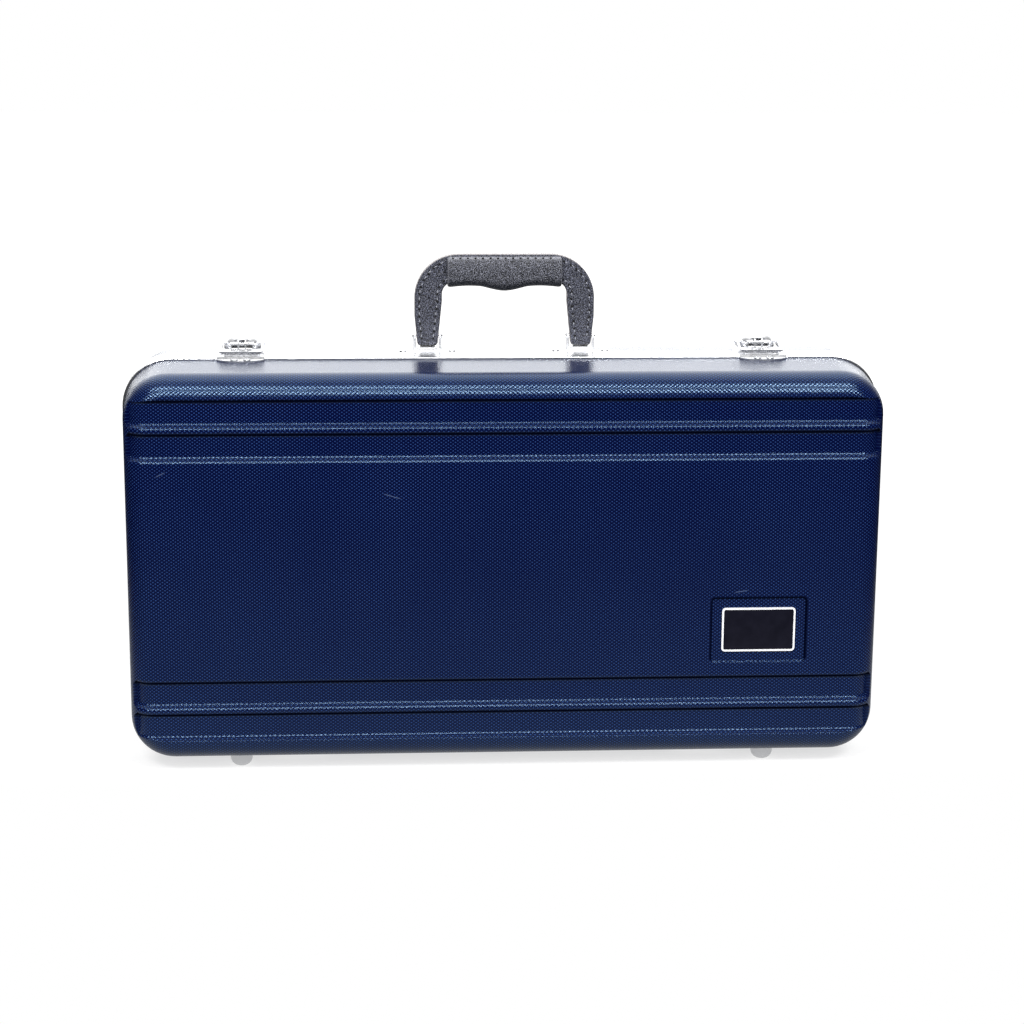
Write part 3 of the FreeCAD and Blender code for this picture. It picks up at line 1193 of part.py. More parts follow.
liner = lining("liner_block", True, "insert_inset", "insert_reach", "insert_round")
liner_hollow = new_body("liner_hollow")
hollow_sketch = outline(sketch_on(liner_hollow, "XZ_Plane", "insert_start"), "insert_inset + liner_wall")
pad(liner_hollow, hollow_sketch, "insert_reach - liner_wall - insert_start", lean="-draft_angle")
liner_floor = -size("insert_reach - liner_wall")
round_edges(liner_hollow, "liner_round", lambda edge: flat_at(edge, "Y", liner_floor))
sub_part(combine("Cut", "liner_piece", liner, liner_hollow), "lid_liner")


def cushion(label, left, right):
    """A cushion on the lid's liner: upright edges rounded, and its front face crowned."""
    body = new_body(label + "_form")
    sketch = rounded_rectangle(sketch_on(body, "XZ_Plane", "cushion_front"), left,
                               "shell_low + cushion_low", right, "shell_low + cushion_high",
                               "2 * cushion_round")
    pad(body, sketch, "insert_reach - liner_wall - cushion_gap - cushion_front")
    front_face = -size("cushion_front")
    round_edges(body, "cushion_round", lambda edge: flat_at(edge, "Y", front_face))
    return sub_part(body, label)


cushion("lid_pad_body", "0 - cushion_left", "cushion_right")
cushion("lid_pad_bell", "cushion_bell_left", "cushion_bell_right")


# Every piece is checked, then written out under its own name

doc.recompute()
for thing in doc.Objects:
    if "Invalid" in thing.State or "Error" in thing.State:
        raise RuntimeError(f"{thing.Name} is in state {thing.State}")
os.makedirs("parts", exist_ok=True)
for thing in sub_parts:
    shape = thing.Shape
    if shape.isNull() or not shape.isValid() or not shape.Solids:
        raise RuntimeError(f"{thing.Label} has no valid shape")
    shape.exportStep(f"parts/{thing.Label}.step")
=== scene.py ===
import math

import bmesh
import bpy
from mathutils import Matrix, Vector


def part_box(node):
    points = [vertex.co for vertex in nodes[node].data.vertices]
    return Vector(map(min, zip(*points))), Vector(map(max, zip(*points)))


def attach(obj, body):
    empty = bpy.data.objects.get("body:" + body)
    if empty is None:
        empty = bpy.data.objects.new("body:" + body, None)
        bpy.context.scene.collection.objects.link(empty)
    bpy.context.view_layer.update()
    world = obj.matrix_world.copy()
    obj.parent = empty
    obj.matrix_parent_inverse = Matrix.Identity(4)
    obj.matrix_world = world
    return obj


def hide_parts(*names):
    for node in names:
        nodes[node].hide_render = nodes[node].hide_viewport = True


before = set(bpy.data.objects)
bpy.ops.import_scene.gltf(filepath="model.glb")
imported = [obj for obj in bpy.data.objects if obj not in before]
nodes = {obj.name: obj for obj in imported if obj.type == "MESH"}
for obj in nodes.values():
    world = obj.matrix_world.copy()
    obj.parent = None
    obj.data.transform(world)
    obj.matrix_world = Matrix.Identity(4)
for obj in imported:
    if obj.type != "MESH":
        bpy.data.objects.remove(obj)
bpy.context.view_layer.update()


# The two moulded shells. Each is vacuum-formed from one sheet of gloss plastic with a fine
# diamond emboss, drawn over a mould with two pairs of grooves, then trimmed at the seam.

class Signal:
    """A socket of a finish, for use in arithmetic with numbers and other signals."""

    def __init__(self, finish, socket):
        self.finish = finish
        self.socket = socket

    def math(self, operation, *others):
        inputs = dict(enumerate((self,) + others))
        return self.finish.node("ShaderNodeMath", {"operation": operation}, inputs)

    def other(self, output):
        """Another output of the same node."""
        return Signal(self.finish, self.socket.node.outputs[output])

    def at_least(self, other):
        return self.math("MAXIMUM", other)

    def at_most(self, other):
        return self.math("MINIMUM", other)

    def __add__(self, other):
        return self.math("ADD", other)

    def __sub__(self, other):
        return self.math("SUBTRACT", other)

    def __neg__(self):
        return self.math("MULTIPLY", -1.0)

    def __rsub__(self, other):
        return (-self).math("ADD", other)

    def __mul__(self, other):
        return self.math("MULTIPLY", other)

    def __truediv__(self, other):
        return self.math("DIVIDE", other)

    def __gt__(self, other):
        return self.math("GREATER_THAN", other)

    def __lt__(self, other):
        return self.math("LESS_THAN", other)

    def __abs__(self):
        return self.math("ABSOLUTE")

    __radd__ = __add__
    __rmul__ = __mul__

    def between(self, low, high):
        """0 below low, 1 above high, and a smooth step from one to the other."""
        settings = {"interpolation_type": "SMOOTHSTEP"}
        inputs = {"Value": self, "From Min": low, "From Max": high}
        return self.finish.node("ShaderNodeMapRange", settings, inputs)


class Finish:
    """A material made of nodes, or the world round the case."""

    def __init__(self, name, kind=bpy.data.materials):
        self.owner = kind.new(name)
        self.owner.use_nodes = True
        self.tree = self.owner.node_tree
        self.tree.nodes.clear()

    def node(self, kind, settings=None, inputs=None, output=0):
        """Adds a node, with its settings first and then its sockets' values or links."""
        made = self.tree.nodes.new(kind)
        for name, value in (settings or {}).items():
            setattr(made, name, value)
        for name, value in (inputs or {}).items():
            if isinstance(value, Signal):
                self.tree.links.new(value.socket, made.inputs[name])
            else:
                made.inputs[name].default_value = value
        return Signal(self, made.outputs[output]) if made.outputs else None

    def place(self):
        """Where a point is on the object at rest, in metres, as three signals."""
        point = self.node("ShaderNodeTexCoord", output="Object")
        return self.parts(point)

    def parts(self, vector):
        split = self.node("ShaderNodeSeparateXYZ", None, {0: vector})
        return [split.other(i) for i in range(3)]

    def point(self, x, y, z):
        return self.node("ShaderNodeCombineXYZ", None, {0: x, 1: y, 2: z})

    def blend(self, amount, first, second):
        """A colour between two colours."""
        settings = {"data_type": "RGBA"}
        return self.node("ShaderNodeMix", settings, {0: amount, 6: first, 7: second}, output=2)

    def noise(self, vector, scale, detail=2.0):
        inputs = {"Vector": vector, "Scale": scale, "Detail": detail}
        return self.node("ShaderNodeTexNoise", None, inputs)

    def bump(self, height, distance, strength=1.0, normal=None):
        inputs = {"Height": height, "Distance": distance, "Strength": strength}
        if normal:
            inputs["Normal"] = normal
        return self.node("ShaderNodeBump", None, inputs)

    def layer(self, **sockets):
        """A shaded surface, with its sockets' names written with underscores."""
        inputs = {name.replace("_", " "): value for name, value in sockets.items()}
        return self.node("ShaderNodeBsdfPrincipled", None, inputs)

    def show(self, shaded):
        """Ends the material with a shaded surface, and gives it back."""
        self.node("ShaderNodeOutputMaterial", None, {"Surface": shaded})
        return self.owner

    def surface(self, **sockets):
        return self.show(self.layer(**sockets))


def coat_nodes(material, *names):
    """Gives CAD nodes a material."""
    for name in names:
        mesh = nodes[name].data
        mesh.materials.clear()
        mesh.materials.append(material)


shell_low, shell_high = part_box("lid_shell")
rim_half_length = shell_high.x
rim_half_height = (shell_high.z - shell_low.z) / 2
middle_height = (shell_high.z + shell_low.z) / 2
face_depth = -shell_low.y
face_round = 0.017
flat_inset = 0.0194
emboss_column = 0.00332
emboss_row = 0.00245
emboss_depth = 0.00015
edge_round = 0.0013


def on_lid_face(y):
    """1 on the face of the lid, down to the floors of its grooves, and 0 elsewhere."""
    return y < -0.06


def embossed_pyramids(shell, x, y, z):
    """Diamond pyramids laid along the skin: 0 in the valleys and 1 on the tips."""
    facing = shell.parts(shell.node("ShaderNodeTexCoord", output="Normal"))
    on_end = abs(facing[0]) > abs(facing[2])
    behind_face = abs(y) - (face_depth - face_round)

    def along_skin(distance, flat, on_side):
        """How far a point is along the skin: over the flat face, its rounding and the side."""
        beyond = (distance - flat).at_least(0)
        bend = beyond.math("ARCTAN2", behind_face.at_least(0.00001))
        down_side = (-behind_face).at_least(0)
        over_face = distance.at_most(flat) + face_round * bend + on_side * down_side
        beside_corner = (behind_face < 0) * (1 - on_side)
        return over_face + beside_corner * (beyond - face_round * bend)

    across = along_skin(abs(x), rim_half_length - flat_inset, on_end)
    up = along_skin(abs(z - middle_height), rim_half_height - flat_inset, 1 - on_end)
    rising = (across / emboss_column + up / emboss_row).math("PINGPONG", 0.5)
    falling = (across / emboss_column - up / emboss_row).math("PINGPONG", 0.5)
    return 1 - 2 * rising.math("SMOOTH_MAX", falling, 0.16)


def softened_edges(shell, y):
    """The direction that the skin faces, rounded over its edges, though not beside the rim."""
    softened = shell.node("ShaderNodeBevel", {"samples": 4}, {"Radius": edge_round})
    plain = shell.node("ShaderNodeNewGeometry", output="Normal")
    clear_of_rim = abs(y).between(0.0125, 0.0145)
    return shell.node("ShaderNodeMix", {"data_type": "VECTOR"},
                      {0: clear_of_rim, 4: plain, 5: softened}, output=1)


recess_half = Vector((0.0345, 0.024))
recess_corner = 0.003
badge_low, badge_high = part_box("badge_rim")
badge_middle = (badge_low + badge_high) / 2


def recess_wall_shade(x, y, z):
    """Painted shade along the upper wall and the two side walls of the badge's recess, as a thin line.
    """
    beside = abs(x - badge_middle.x) - (recess_half.x - recess_corner)
    above = abs(z - badge_middle.z) - (recess_half.y - recess_corner)
    outside = beside.at_least(0).math("POWER", 2) + above.at_least(0).math("POWER", 2)
    inside = beside.at_least(above).at_most(0)
    from_wall = outside.math("SQRT") + inside - recess_corner
    off_lower_wall = z > badge_middle.z - recess_half.y + 0.0017
    return (1 - abs(from_wall).between(0.0006, 0.0013)) * on_lid_face(y) * off_lower_wall


def scuff(x, z, middle_x, middle_z, lean, reach):
    """A faint scrape along the face, leaning up to the right by a tangent."""
    along = (x - middle_x) + (z - middle_z) * lean
    aside = (z - middle_z) - (x - middle_x) * lean
    thin = 1 - abs(aside).between(0.0001, 0.0005)
    return thin * (1 - abs(along).between(reach * 0.4, reach))


def embossed_plastic():
    shell = Finish("embossed_plastic")
    x, y, z = shell.place()
    pyramids = embossed_pyramids(shell, x, y, z)
    rounded = softened_edges(shell, y)
    settings = {"vector_type": "NORMAL", "convert_from": "WORLD", "convert_to": "OBJECT"}
    leaning = shell.parts(shell.node("ShaderNodeVectorTransform", settings, {"Vector": rounded}))
    # Painted shade: where the skin faces down under the ridges of the grooves, or sideways at the ends
    # of the grooves and the recess, and along the recess's walls, it is darkened towards a near-black
    # surface.
    shade_under_ridges = -leaning[2] * (z > 0.03)
    shade_at_groove_ends = abs(leaning[0]) * (abs(x) < 0.24) * 1.4
    creases = shade_under_ridges.at_least(shade_at_groove_ends).between(0.32, 0.66)
    creases = creases.at_least(recess_wall_shade(x, y, z))
    drift = shell.noise(shell.point(x, y, z), 9.0)
    # Painted highlight: the tips of the emboss are painted a lighter blue, standing in for facets that
    # catch the light, varied at random by the drift.
    painted_tip_highlight = pyramids.between(0.4, 1.0) * (0.6 + 0.8 * drift)
    plastic = shell.blend(painted_tip_highlight, (0.0002, 0.0011, 0.025, 1), (0.028, 0.073, 0.235, 1))
    scuffs = (scuff(x, z, -0.2435, 0.2244, 0.5, 0.005)
              + scuff(x, z, -0.0813, 0.2077, -0.3, 0.008)
              + scuff(x, z, 0.1692, 0.1356, 0.15, 0.006))
    smooth_top = leaning[2].between(0.8, 0.97)
    gloss = shell.layer(
        Base_Color=shell.blend(scuffs * on_lid_face(y) * 0.5, plastic, (0.1, 0.14, 0.25, 1)),
        Roughness=0.16 + 0.08 * drift,
        IOR=1.5,
        Specular_IOR_Level=0.6,
        Specular_Tint=(0.45, 0.7, 1.0, 1),
        Normal=shell.bump(pyramids * (1 - 0.7 * smooth_top), emboss_depth, 1.0, rounded))
    # The near-black surface mixed in over the creases is painted shade.
    shade = shell.node("ShaderNodeBsdfDiffuse", None, {"Color": (0.001, 0.002, 0.012, 1)})
    return shell.show(shell.node("ShaderNodeMixShader", None, {0: creases * 0.92, 1: gloss, 2: shade}))


coat_nodes(embossed_plastic(), "lid_shell", "base_shell")


# The valances are extruded aluminium edges, bright anodised, bent round the case and pressed
# over the trimmed shells. The base's tongue closes into the lid's groove.

def bright_aluminium():
    metal = Finish("bright_aluminium")
    x, y, z = metal.place()
    draw_lines = metal.noise(metal.point(x * 6, y * 900, z * 6), 1.0)
    return metal.surface(
        Base_Color=metal.blend(draw_lines, (0.84, 0.85, 0.87, 1), (0.9, 0.905, 0.92, 1)),
        Metallic=1.0,
        Roughness=0.22 + 0.1 * draw_lines,
        Normal=metal.bump(draw_lines, 0.00002))


coat_nodes(bright_aluminium(), "lid_valance", "base_valance")


# The badge is a bare plate of black enamel inside a thin silver rim. Both are stamped from
# sheet and glued to the floor of their recess in the lid.

def black_enamel():
    enamel = Finish("black_enamel")
    x, y, z = enamel.place()
    ripple = enamel.noise(enamel.point(x, y, z), 160.0)
    return enamel.surface(
        Base_Color=enamel.blend(ripple, (0.003, 0.003, 0.007, 1), (0.009, 0.009, 0.017, 1)),
        Roughness=0.12 + 0.1 * ripple,
        Specular_IOR_Level=0.2,
        Normal=enamel.bump(ripple, 0.00003))


def silver_paint():
    paint = Finish("silver_paint")
    x, y, z = paint.place()
    fleck = paint.noise(paint.point(x, y, z), 900.0)
    return paint.surface(
        Base_Color=paint.blend(fleck, (0.88, 0.89, 0.92, 1), (0.96, 0.965, 0.98, 1)),
        Metallic=0.1,
        Roughness=0.3 + 0.1 * fleck)


coat_nodes(silver_paint(), "badge_rim")
coat_nodes(black_enamel(), "badge_plate")


# Four domed studs are the feet, two under each shell. Each is a nickel-plated rivet, closed
# over a head inside the shell.

def bright_nickel(name, shine):
    metal = Finish(name)
    x, y, z = metal.place()
    haze = metal.noise(metal.point(x, y, z), 260.0)
    return metal.surface(
        Base_Color=metal.blend(haze, (0.84, 0.85, 0.88, 1), (0.95, 0.955, 0.97, 1)),
        Metallic=shine,
        Roughness=0.16 + 0.12 * haze,
        Normal=metal.bump(haze, 0.00003))


nickel = bright_nickel("bright_nickel", 0.62)
coat_nodes(nickel, "lid_feet", "base_feet")


# Two butt hinges join the halves below. Their leaves are pressed from plated steel, rolled
# into knuckles round a pin and riveted through the shells.

def plated_steel():
    metal = Finish("plated_steel")
    x, y, z = metal.place()
    grain = metal.noise(metal.point(x * 30, y * 260, z * 260), 1.0)
    return metal.surface(
        Base_Color=metal.blend(grain, (0.62, 0.63, 0.66, 1), (0.74, 0.75, 0.78, 1)),
        Metallic=1.0,
        Roughness=0.2 + 0.16 * grain,
        Normal=metal.bump(grain, 0.00003))


steel = plated_steel()
coat_nodes(steel, "lid_hinge_leaf_left", "lid_hinge_leaf_right", "base_hinge_leaf_left",
           "base_hinge_leaf_right", "hinge_pins", "lid_hinge_rivets", "base_hinge_rivets")


# The latches are stamped and nickel-plated. A plate with two ears carries the domed lever, whose
# link draws the hasp back over the catch on the lid. Steel rivets hold plate and catch.

latch_nickel = bright_nickel("latch_nickel", 0.88)
coat_nodes(latch_nickel, "latch_plate_left", "latch_plate_right", "latch_catch_left",
           "latch_catch_right", "latch_lever_left", "latch_lever_right", "latch_link_left",
           "latch_link_right", "latch_link_pins_left", "latch_link_pins_right",
           "latch_lever_pins")
coat_nodes(steel, "latch_plate_rivets", "latch_catch_rivets")


# The inside is lined with short black plush, glued over foam: a fitted tray with a hinged
# compartment lid in the base, and a liner in the lid.

def short_plush():
    cloth = Finish("short_plush")
    x, y, z = cloth.place()
    pile = cloth.noise(cloth.point(x, y, z), 1900.0)
    nap = cloth.noise(cloth.point(x, y, z), 24.0)
    return cloth.surface(
        Base_Color=cloth.blend(pile * 0.6 + nap * 0.4, (0.006, 0.006, 0.007, 1),
                               (0.03, 0.03, 0.034, 1)),
        Roughness=0.95,
        Sheen_Weight=0.5,
        Sheen_Roughness=0.4,
        Normal=cloth.bump(pile, 0.0004, 0.6))


plush = short_plush()
coat_nodes(plush, "base_insert", "lid_liner", "compartment_lid")
coat_nodes(steel, "compartment_hinge")


# The handle is a stitched leather strap on a steel core, with a padded grip sewn round its
# middle. Wire yokes hold its legs and turn in tubes on two plates.

def grained_leather(name, dark, light, highlight_colour):
    hide = Finish(name)
    x, y, z = hide.place()
    spot = hide.point(x, y, z)
    settings = {"feature": "DISTANCE_TO_EDGE"}
    grain = hide.node("ShaderNodeTexVoronoi", settings, {"Vector": spot, "Scale": 800.0})
    creases = grain.between(0.02, 0.3)
    mottle = hide.noise(spot, 1100.0).between(0.3, 0.7)
    facing = hide.parts(hide.node("ShaderNodeTexCoord", output="Normal"))
    # Painted highlight: faces that turn away from the strap's two broad faces, its edges and the
    # grip's top and ends, are painted in a lighter colour, except where they face down.
    painted_edge_highlight = 1 - abs(facing[1]).between(0.3, 0.75)
    # Painted shade: the leather is darkened where it faces down.
    underside = (-facing[2]).between(0.1, 0.7)
    tone = (creases * 0.45 + mottle * 0.55).between(0.12, 0.95)
    skin = hide.blend(tone * (1 - 0.85 * underside), dark, light)
    return hide.surface(
        Base_Color=hide.blend(painted_edge_highlight * (1 - underside), skin, highlight_colour),
        Roughness=0.3 + 0.16 * mottle,
        Normal=hide.bump(creases + mottle, 0.0003, 1.0))


# The third colour is the painted highlight on the edges.
leather = grained_leather("grained_leather", (0.006, 0.0065, 0.01, 1), (0.14, 0.148, 0.2, 1),
                          (0.45, 0.42, 0.42, 1))
coat_nodes(leather, "handle_cover", "compartment_tab")
coat_nodes(nickel, "handle_plate_left", "handle_plate_right", "handle_yoke_left",
           "handle_yoke_right")
coat_nodes(steel, "handle_core", "handle_plate_rivets")


def polished_chrome():
    metal = Finish("polished_chrome")
    x, y, z = metal.place()
    haze = metal.noise(metal.point(x, y, z), 140.0)
    return metal.surface(
        Base_Color=(0.86, 0.87, 0.89, 1),
        Metallic=1.0,
        Roughness=0.05 + 0.09 * haze,
        Normal=metal.bump(haze, 0.00004))


coat_nodes(polished_chrome(), "handle_pins")

handle_low, handle_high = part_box("handle_cover")
handle_shift = (handle_low.x + handle_high.x) / 2
handle_depth = (handle_low.y + handle_high.y) / 2
shell_top = shell_high.z


def add_piece(name, mesh, body, material):
    """Links a mesh as a piece of the case that rides on a body."""
    mesh.materials.append(material)
    mesh.polygons.foreach_set("use_smooth", [True] * len(mesh.polygons))
    piece = bpy.data.objects.new(name, mesh)
    bpy.context.scene.collection.objects.link(piece)
    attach(piece, body)
    return piece


def loft(name, rings):
    """A closed mesh through rings of points, each ring closed on itself."""
    count = len(rings[0])
    points = [point for ring in rings for point in ring]
    faces = []
    for i in range(len(rings) - 1):
        for j in range(count):
            k = (j + 1) % count
            faces.append((i * count + j, i * count + k, (i + 1) * count + k, (i + 1) * count + j))
    faces.append(tuple(reversed(range(count))))
    faces.append(tuple(range(len(points) - count, len(points))))
    mesh = bpy.data.meshes.new(name)
    mesh.from_pydata(points, [], faces)
    return mesh


def padded_grip():
    """The wrapped grip: full in the hand, with a swell between the fingers below."""
    half_length = 0.0414
    end_round = 0.002
    swell_half_length = 0.0185
    underside = 0.0482
    high = 0.0708
    stations = 56
    ring_points = 40
    rings = []
    for i in range(stations + 1):
        share = 2 * i / stations - 1
        x = half_length * math.copysign(1 - (1 - abs(share)) ** 1.25, share) if share else 0
        end = max(0.0, (abs(x) - half_length + end_round) / end_round)
        tuck = math.sqrt(max(0.0, 1 - end * end))
        swell = 0.0028 * math.cos(min(1.0, abs(x) / swell_half_length) * math.pi / 2) ** 2
        rise = 0.0009 * math.sin(min(1.0, max(0.0, (abs(x) - 0.012) / 0.027)) * math.pi)
        low = underside - swell + rise
        middle = (low + high) / 2
        half_height = (high - low) / 2 * (0.93 + 0.07 * tuck)
        half_depth = 0.0086 + 0.0027 * tuck
        ring = []
        for j in range(ring_points):
            angle = math.tau * j / ring_points
            c, s = math.cos(angle), math.sin(angle)
            y = half_depth * math.copysign(abs(c) ** 0.72, c)
            z = half_height * math.copysign(abs(s) ** 0.8, s)
            slack = 0.00016 * math.sin(x * 900 + 5 * s) * (1 - abs(s))
            ring.append((handle_shift + x, handle_depth + y + slack, shell_top + middle + z))
        rings.append(ring)
    return loft("handle_grip_padded", rings)


# The third colour is the painted highlight on the edges and the top.
wrap = grained_leather("wrapped_leather", (0.005, 0.0055, 0.008, 1), (0.19, 0.196, 0.24, 1),
                       (0.26, 0.265, 0.3, 1))
grip = add_piece("handle_grip_padded", padded_grip(), "handle", wrap)
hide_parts("handle_grip")


stitch_pitch = 0.00545


def stitch_line(points, start, length, girth, face, outward):
    """Short raised lengths along a line of (x, z) points on a face of the strap, as rings."""
    stitches = []
    carried = start
    for (x0, z0), (x1, z1) in zip(points, points[1:]):
        run = math.hypot(x1 - x0, z1 - z0)
        along = ((x1 - x0) / run, (z1 - z0) / run)
        while carried < run:
            centre = (x0 + along[0] * carried, z0 + along[1] * carried)
            rings = []
            for i in range(7):
                share = i / 3 - 1
                radius = girth * math.sqrt(max(0.02, 1 - share * share))
                x = handle_shift + centre[0] + along[0] * share * length / 2
                z = shell_top + centre[1] + along[1] * share * length / 2
                bow = outward * girth * (0.5 - 0.8 * share * share)
                rings.append([
                    (x - along[1] * radius * math.cos(math.tau * j / 6),
                     face + bow + radius * math.sin(math.tau * j / 6),
                     z + along[0] * radius * math.cos(math.tau * j / 6))
                    for j in range(6)])
            stitches.append(rings)
            carried += stitch_pitch
        carried -= run
    return stitches


def waxed_thread():
    thread = Finish("waxed_thread")
    x, y, z = thread.place()
    twist = ((x + z) * 5200).math("SINE")
    strands = twist.between(-1, 1)
    return thread.surface(
        Base_Color=thread.blend(strands, (0.25, 0.26, 0.3, 1), (0.5, 0.51, 0.56, 1)),
        Roughness=0.42 + 0.1 * strands,
        Normal=thread.bump(twist, 0.00005))


# Painted shade: near-black marks round each stitch stand for the shade inside the needle holes.
def needle_hole_shade():
    hole = Finish("needle_hole_shade")
    x, y, z = hole.place()
    fuzz = hole.noise(hole.point(x, y, z), 1500.0)
    return hole.surface(
        Base_Color=hole.blend(fuzz, (0.001, 0.001, 0.0012, 1), (0.006, 0.006, 0.007, 1)),
        Roughness=0.8 + 0.1 * fuzz)


def quarter_turn(centre, radius, count):
    """The first points of a quarter turn in tenths, from the left side up to the top."""
    angles = [math.pi / 2 * i / 10 for i in range(count)]
    return [(centre[0] - radius * math.cos(angle), centre[1] + radius * math.sin(angle))
            for angle in angles]


def mirrored_line(line):
    return [(-x, z) for x, z in reversed(line)]


strap_reach = (handle_high.y - handle_low.y) / 2
grip_reach = 0.0066


def handle_stitches(name, start, length, girth):
    """A mesh of all stitches: two lines up each leg and one along the grip, on both faces."""
    outer = [(-0.0602, 0.010), (-0.062, 0.027), (-0.062, 0.0402)]
    outer += quarter_turn((-0.0335, 0.0402), 0.0285, 9)[1:]
    inner = [(-0.0520, 0.010), (-0.0489, 0.038)]
    inner += quarter_turn((-0.0364, 0.043), 0.0125, 8)
    on_grip = [(-0.0385, 0.0697), (0.0385, 0.0697)]
    lines = [(outer, strap_reach), (mirrored_line(outer), strap_reach), (inner, strap_reach),
             (mirrored_line(inner), strap_reach), (on_grip, grip_reach)]
    mesh = bmesh.new()
    for line, reach in lines:
        for side in (-1, 1):
            face = handle_depth + side * reach
            for stitch in stitch_line(line, start, length, girth, face, side):
                part = loft("stitch", stitch)
                mesh.from_mesh(part)
                bpy.data.meshes.remove(part)
    whole = bpy.data.meshes.new(name)
    mesh.to_mesh(whole)
    mesh.free()
    return whole


add_piece("handle_stitches", handle_stitches("handle_stitches", 0.0027, 0.0023, 0.0003), "handle",
          waxed_thread())
# The dark marks under the stitches are painted shade of the needle holes.
add_piece("handle_needle_hole_shade", handle_stitches("handle_needle_hole_shade", 0.0008, 0.0018, 0.00075),
          "handle", needle_hole_shade())


# The lid's two cushions are cut from soft foam, covered with plush and glued to the liner,
# where they hold the bell and the body of the trumpet down.

def crowned_cushion(name, low, high):
    """A rounded pad whose face swells and whose sides draw in between its corners."""
    rounding = 0.22
    drawn_in = 0.045
    swell = 0.2
    mesh = bmesh.new()
    bmesh.ops.create_cube(mesh, size=2.0)
    bmesh.ops.subdivide_edges(mesh, edges=mesh.edges[:], cuts=15, use_grid_fill=True)
    middle = (low + high) / 2
    half = (high - low) / 2
    for vertex in mesh.verts:
        u, w, v = vertex.co
        square = Vector((u, w, v))
        ball = square.normalized() * max(abs(u), abs(w), abs(v))
        shape = square.lerp(ball, rounding)
        shape.x *= 1 - drawn_in * (1 - v * v)
        shape.z *= 1 - drawn_in * (1 - u * u)
        front = (1 - w) / 2
        crown = (1 - u * u) * (1 - v * v)
        depth = shape.y if w > 0.9 else shape.y * (1 - swell + swell * crown * front)
        vertex.co = Vector((middle.x + shape.x * half.x, middle.y + depth * half.y,
                            middle.z + shape.z * half.z))
    made = bpy.data.meshes.new(name)
    mesh.to_mesh(made)
    mesh.free()
    return made


for name in ("lid_pad_body", "lid_pad_bell"):
    pad = add_piece(name + "_plush", crowned_cushion(name + "_plush", *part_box(name)), "lid", plush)
    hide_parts(name)


# The studio is a white paper sweep that keeps the case's shadow, under a world that is bright
# above and behind. Two softboxes stand in front, beside the camera.

def studio_floor():
    paper = Finish("white_paper")
    x, y, z = paper.place()
    path = paper.node("ShaderNodeLightPath")
    camera_ray = path.other("Is Camera Ray")
    glossy_ray = path.other("Is Glossy Ray")
    near = y.between(-0.6, -0.1) * (1 - abs(x).between(0.3, 0.7))
    beyond = ((x * x) + (y * y)).between(0.5, 3.0)
    shaded = paper.node("ShaderNodeBsdfDiffuse", None, {"Color": (0.4, 0.4, 0.4, 1)})
    glow = paper.node("ShaderNodeEmission", None,
                      {"Color": (1, 1, 1, 1), "Strength": (0.66 + 0.4 * beyond) * camera_ray})
    lit = paper.node("ShaderNodeAddShader", None, {0: shaded, 1: glow})
    mirrored = paper.node("ShaderNodeEmission", None,
                          {"Color": (1, 1, 1, 1), "Strength": 0.02 + 0.58 * near})
    both = paper.node("ShaderNodeMixShader", None, {0: glossy_ray, 1: lit, 2: mirrored})
    # The sweep thins out ahead of the case, so that the lid shows when it hangs open
    solid = y.between(-0.08, -0.015).at_least(glossy_ray)
    clear = paper.node("ShaderNodeBsdfTransparent")
    return paper.show(paper.node("ShaderNodeMixShader", None, {0: solid, 1: clear, 2: both}))


sweep_reach = 6
sweep_corners = [(-sweep_reach, -sweep_reach, 0), (sweep_reach, -sweep_reach, 0),
                 (sweep_reach, sweep_reach, 0), (-sweep_reach, sweep_reach, 0)]
floor_mesh = bpy.data.meshes.new("floor")
floor_mesh.from_pydata(sweep_corners, [], [(0, 1, 2, 3)])
floor_mesh.materials.append(studio_floor())
floor = bpy.data.objects.new("floor", floor_mesh)
bpy.context.scene.collection.objects.link(floor)

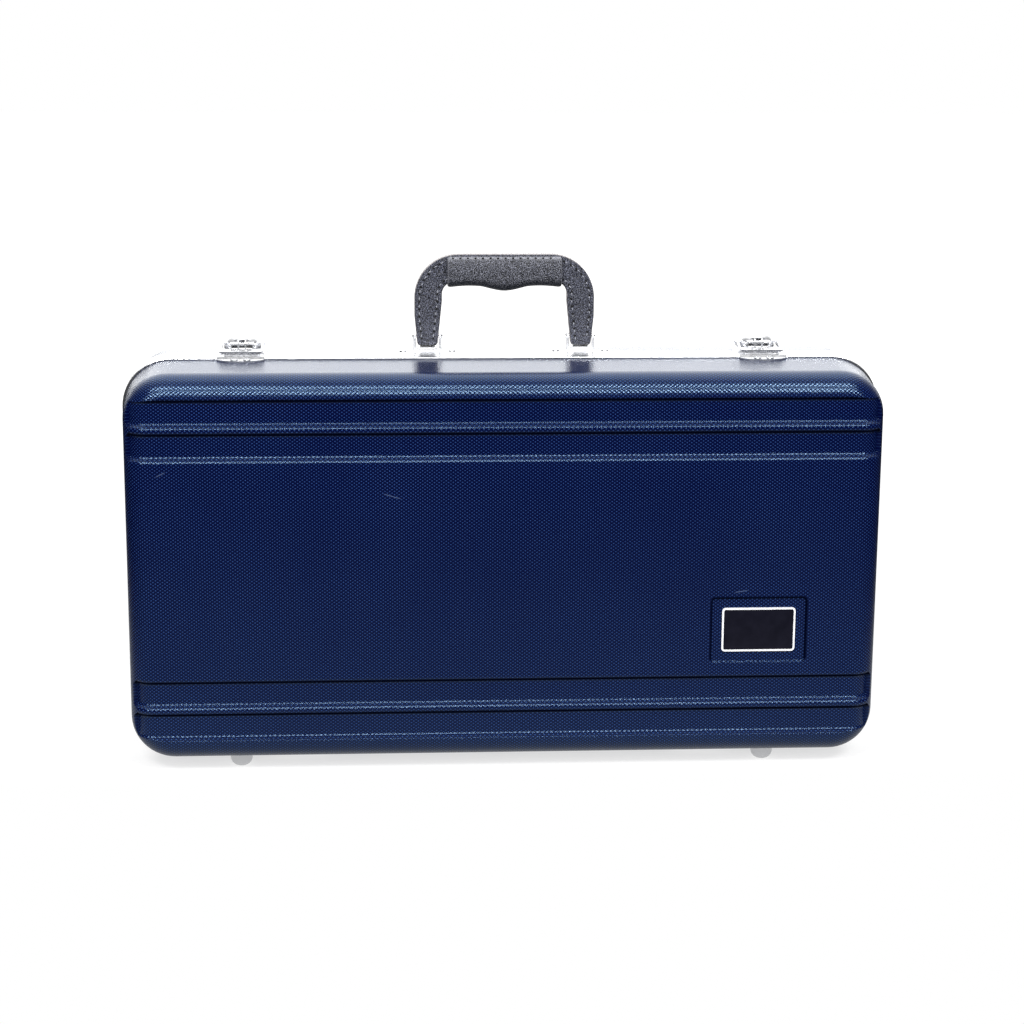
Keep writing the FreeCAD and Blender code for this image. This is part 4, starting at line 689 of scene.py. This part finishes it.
sky = Finish("studio", bpy.data.worlds)
bpy.context.scene.world = sky.owner
direction = sky.parts(sky.node("ShaderNodeTexCoord", output="Generated"))
path = sky.node("ShaderNodeLightPath")
camera_ray = path.other("Is Camera Ray")
glossy_ray = path.other("Is Glossy Ray")
overhead = direction[2].between(0.2, 0.8)
sweep = (direction[1] + 0.75 * direction[2]).between(0.15, 1.0)
aside = abs(direction[0]).between(0.3, 0.8)
mirrored = 0.03 + 2.45 * sweep * (1 - 0.9 * aside)
bounced = (-direction[2]).between(0.0, 0.3)
scattered = 0.24 + 0.3 * overhead + 0.6 * direction[1].between(0.1, 0.7) + 0.3 * bounced
strength = camera_ray + (1 - camera_ray) * (glossy_ray * mirrored + (1 - glossy_ray) * scattered)
light = sky.node("ShaderNodeBackground", None, {"Color": (1, 1, 1, 1), "Strength": strength})
sky.node("ShaderNodeOutputWorld", None, {"Surface": light})


def softbox(name, place, target, width, height, power):
    lamp = bpy.data.lights.new(name, "AREA")
    lamp.shape = "RECTANGLE"
    lamp.size = width
    lamp.size_y = height
    lamp.energy = power
    holder = bpy.data.objects.new(name, lamp)
    holder.location = place
    holder.rotation_mode = "QUATERNION"
    holder.rotation_quaternion = (Vector(target) - Vector(place)).to_track_quat("-Z", "Y")
    bpy.context.scene.collection.objects.link(holder)


for side, name in ((-1, "left_softbox"), (1, "right_softbox")):
    softbox(name, (side * 0.7, -1.66, 1.62), (0, 0, 0.2), 0.8, 0.4, 38)


# The camera stands 1.81 m from the middle of the case, looks down 13.7 degrees and is turned
# 3.6 degrees to the right, as in the photograph.

photo_pixels = 1024
focal_pixels = 2449.61
sensor_width = 36.0
aim = Vector((0.00769, 0, 0.17960))
camera_distance = 1.80506
pitch = math.radians(13.71)
yaw = math.radians(3.63)
roll = math.radians(0.41)
ahead = Vector((math.sin(yaw) * math.cos(pitch), math.cos(yaw) * math.cos(pitch), -math.sin(pitch)))
level = Vector((math.cos(yaw), -math.sin(yaw), 0))
upright = level.cross(ahead)
right = level * math.cos(roll) + upright * math.sin(roll)
top = upright * math.cos(roll) - level * math.sin(roll)
camera_data = bpy.data.cameras.new("camera")
camera_data.sensor_width = sensor_width
camera_data.lens = sensor_width * focal_pixels / photo_pixels
camera = bpy.data.objects.new("camera", camera_data)
camera.matrix_world = Matrix((
    (right.x, top.x, -ahead.x, 0), (right.y, top.y, -ahead.y, 0),
    (right.z, top.z, -ahead.z, 0), (0, 0, 0, 1)))
camera.location = aim - ahead * camera_distance
bpy.context.scene.collection.objects.link(camera)
bpy.context.scene.camera = camera
bpy.context.scene.view_settings.view_transform = "Standard"
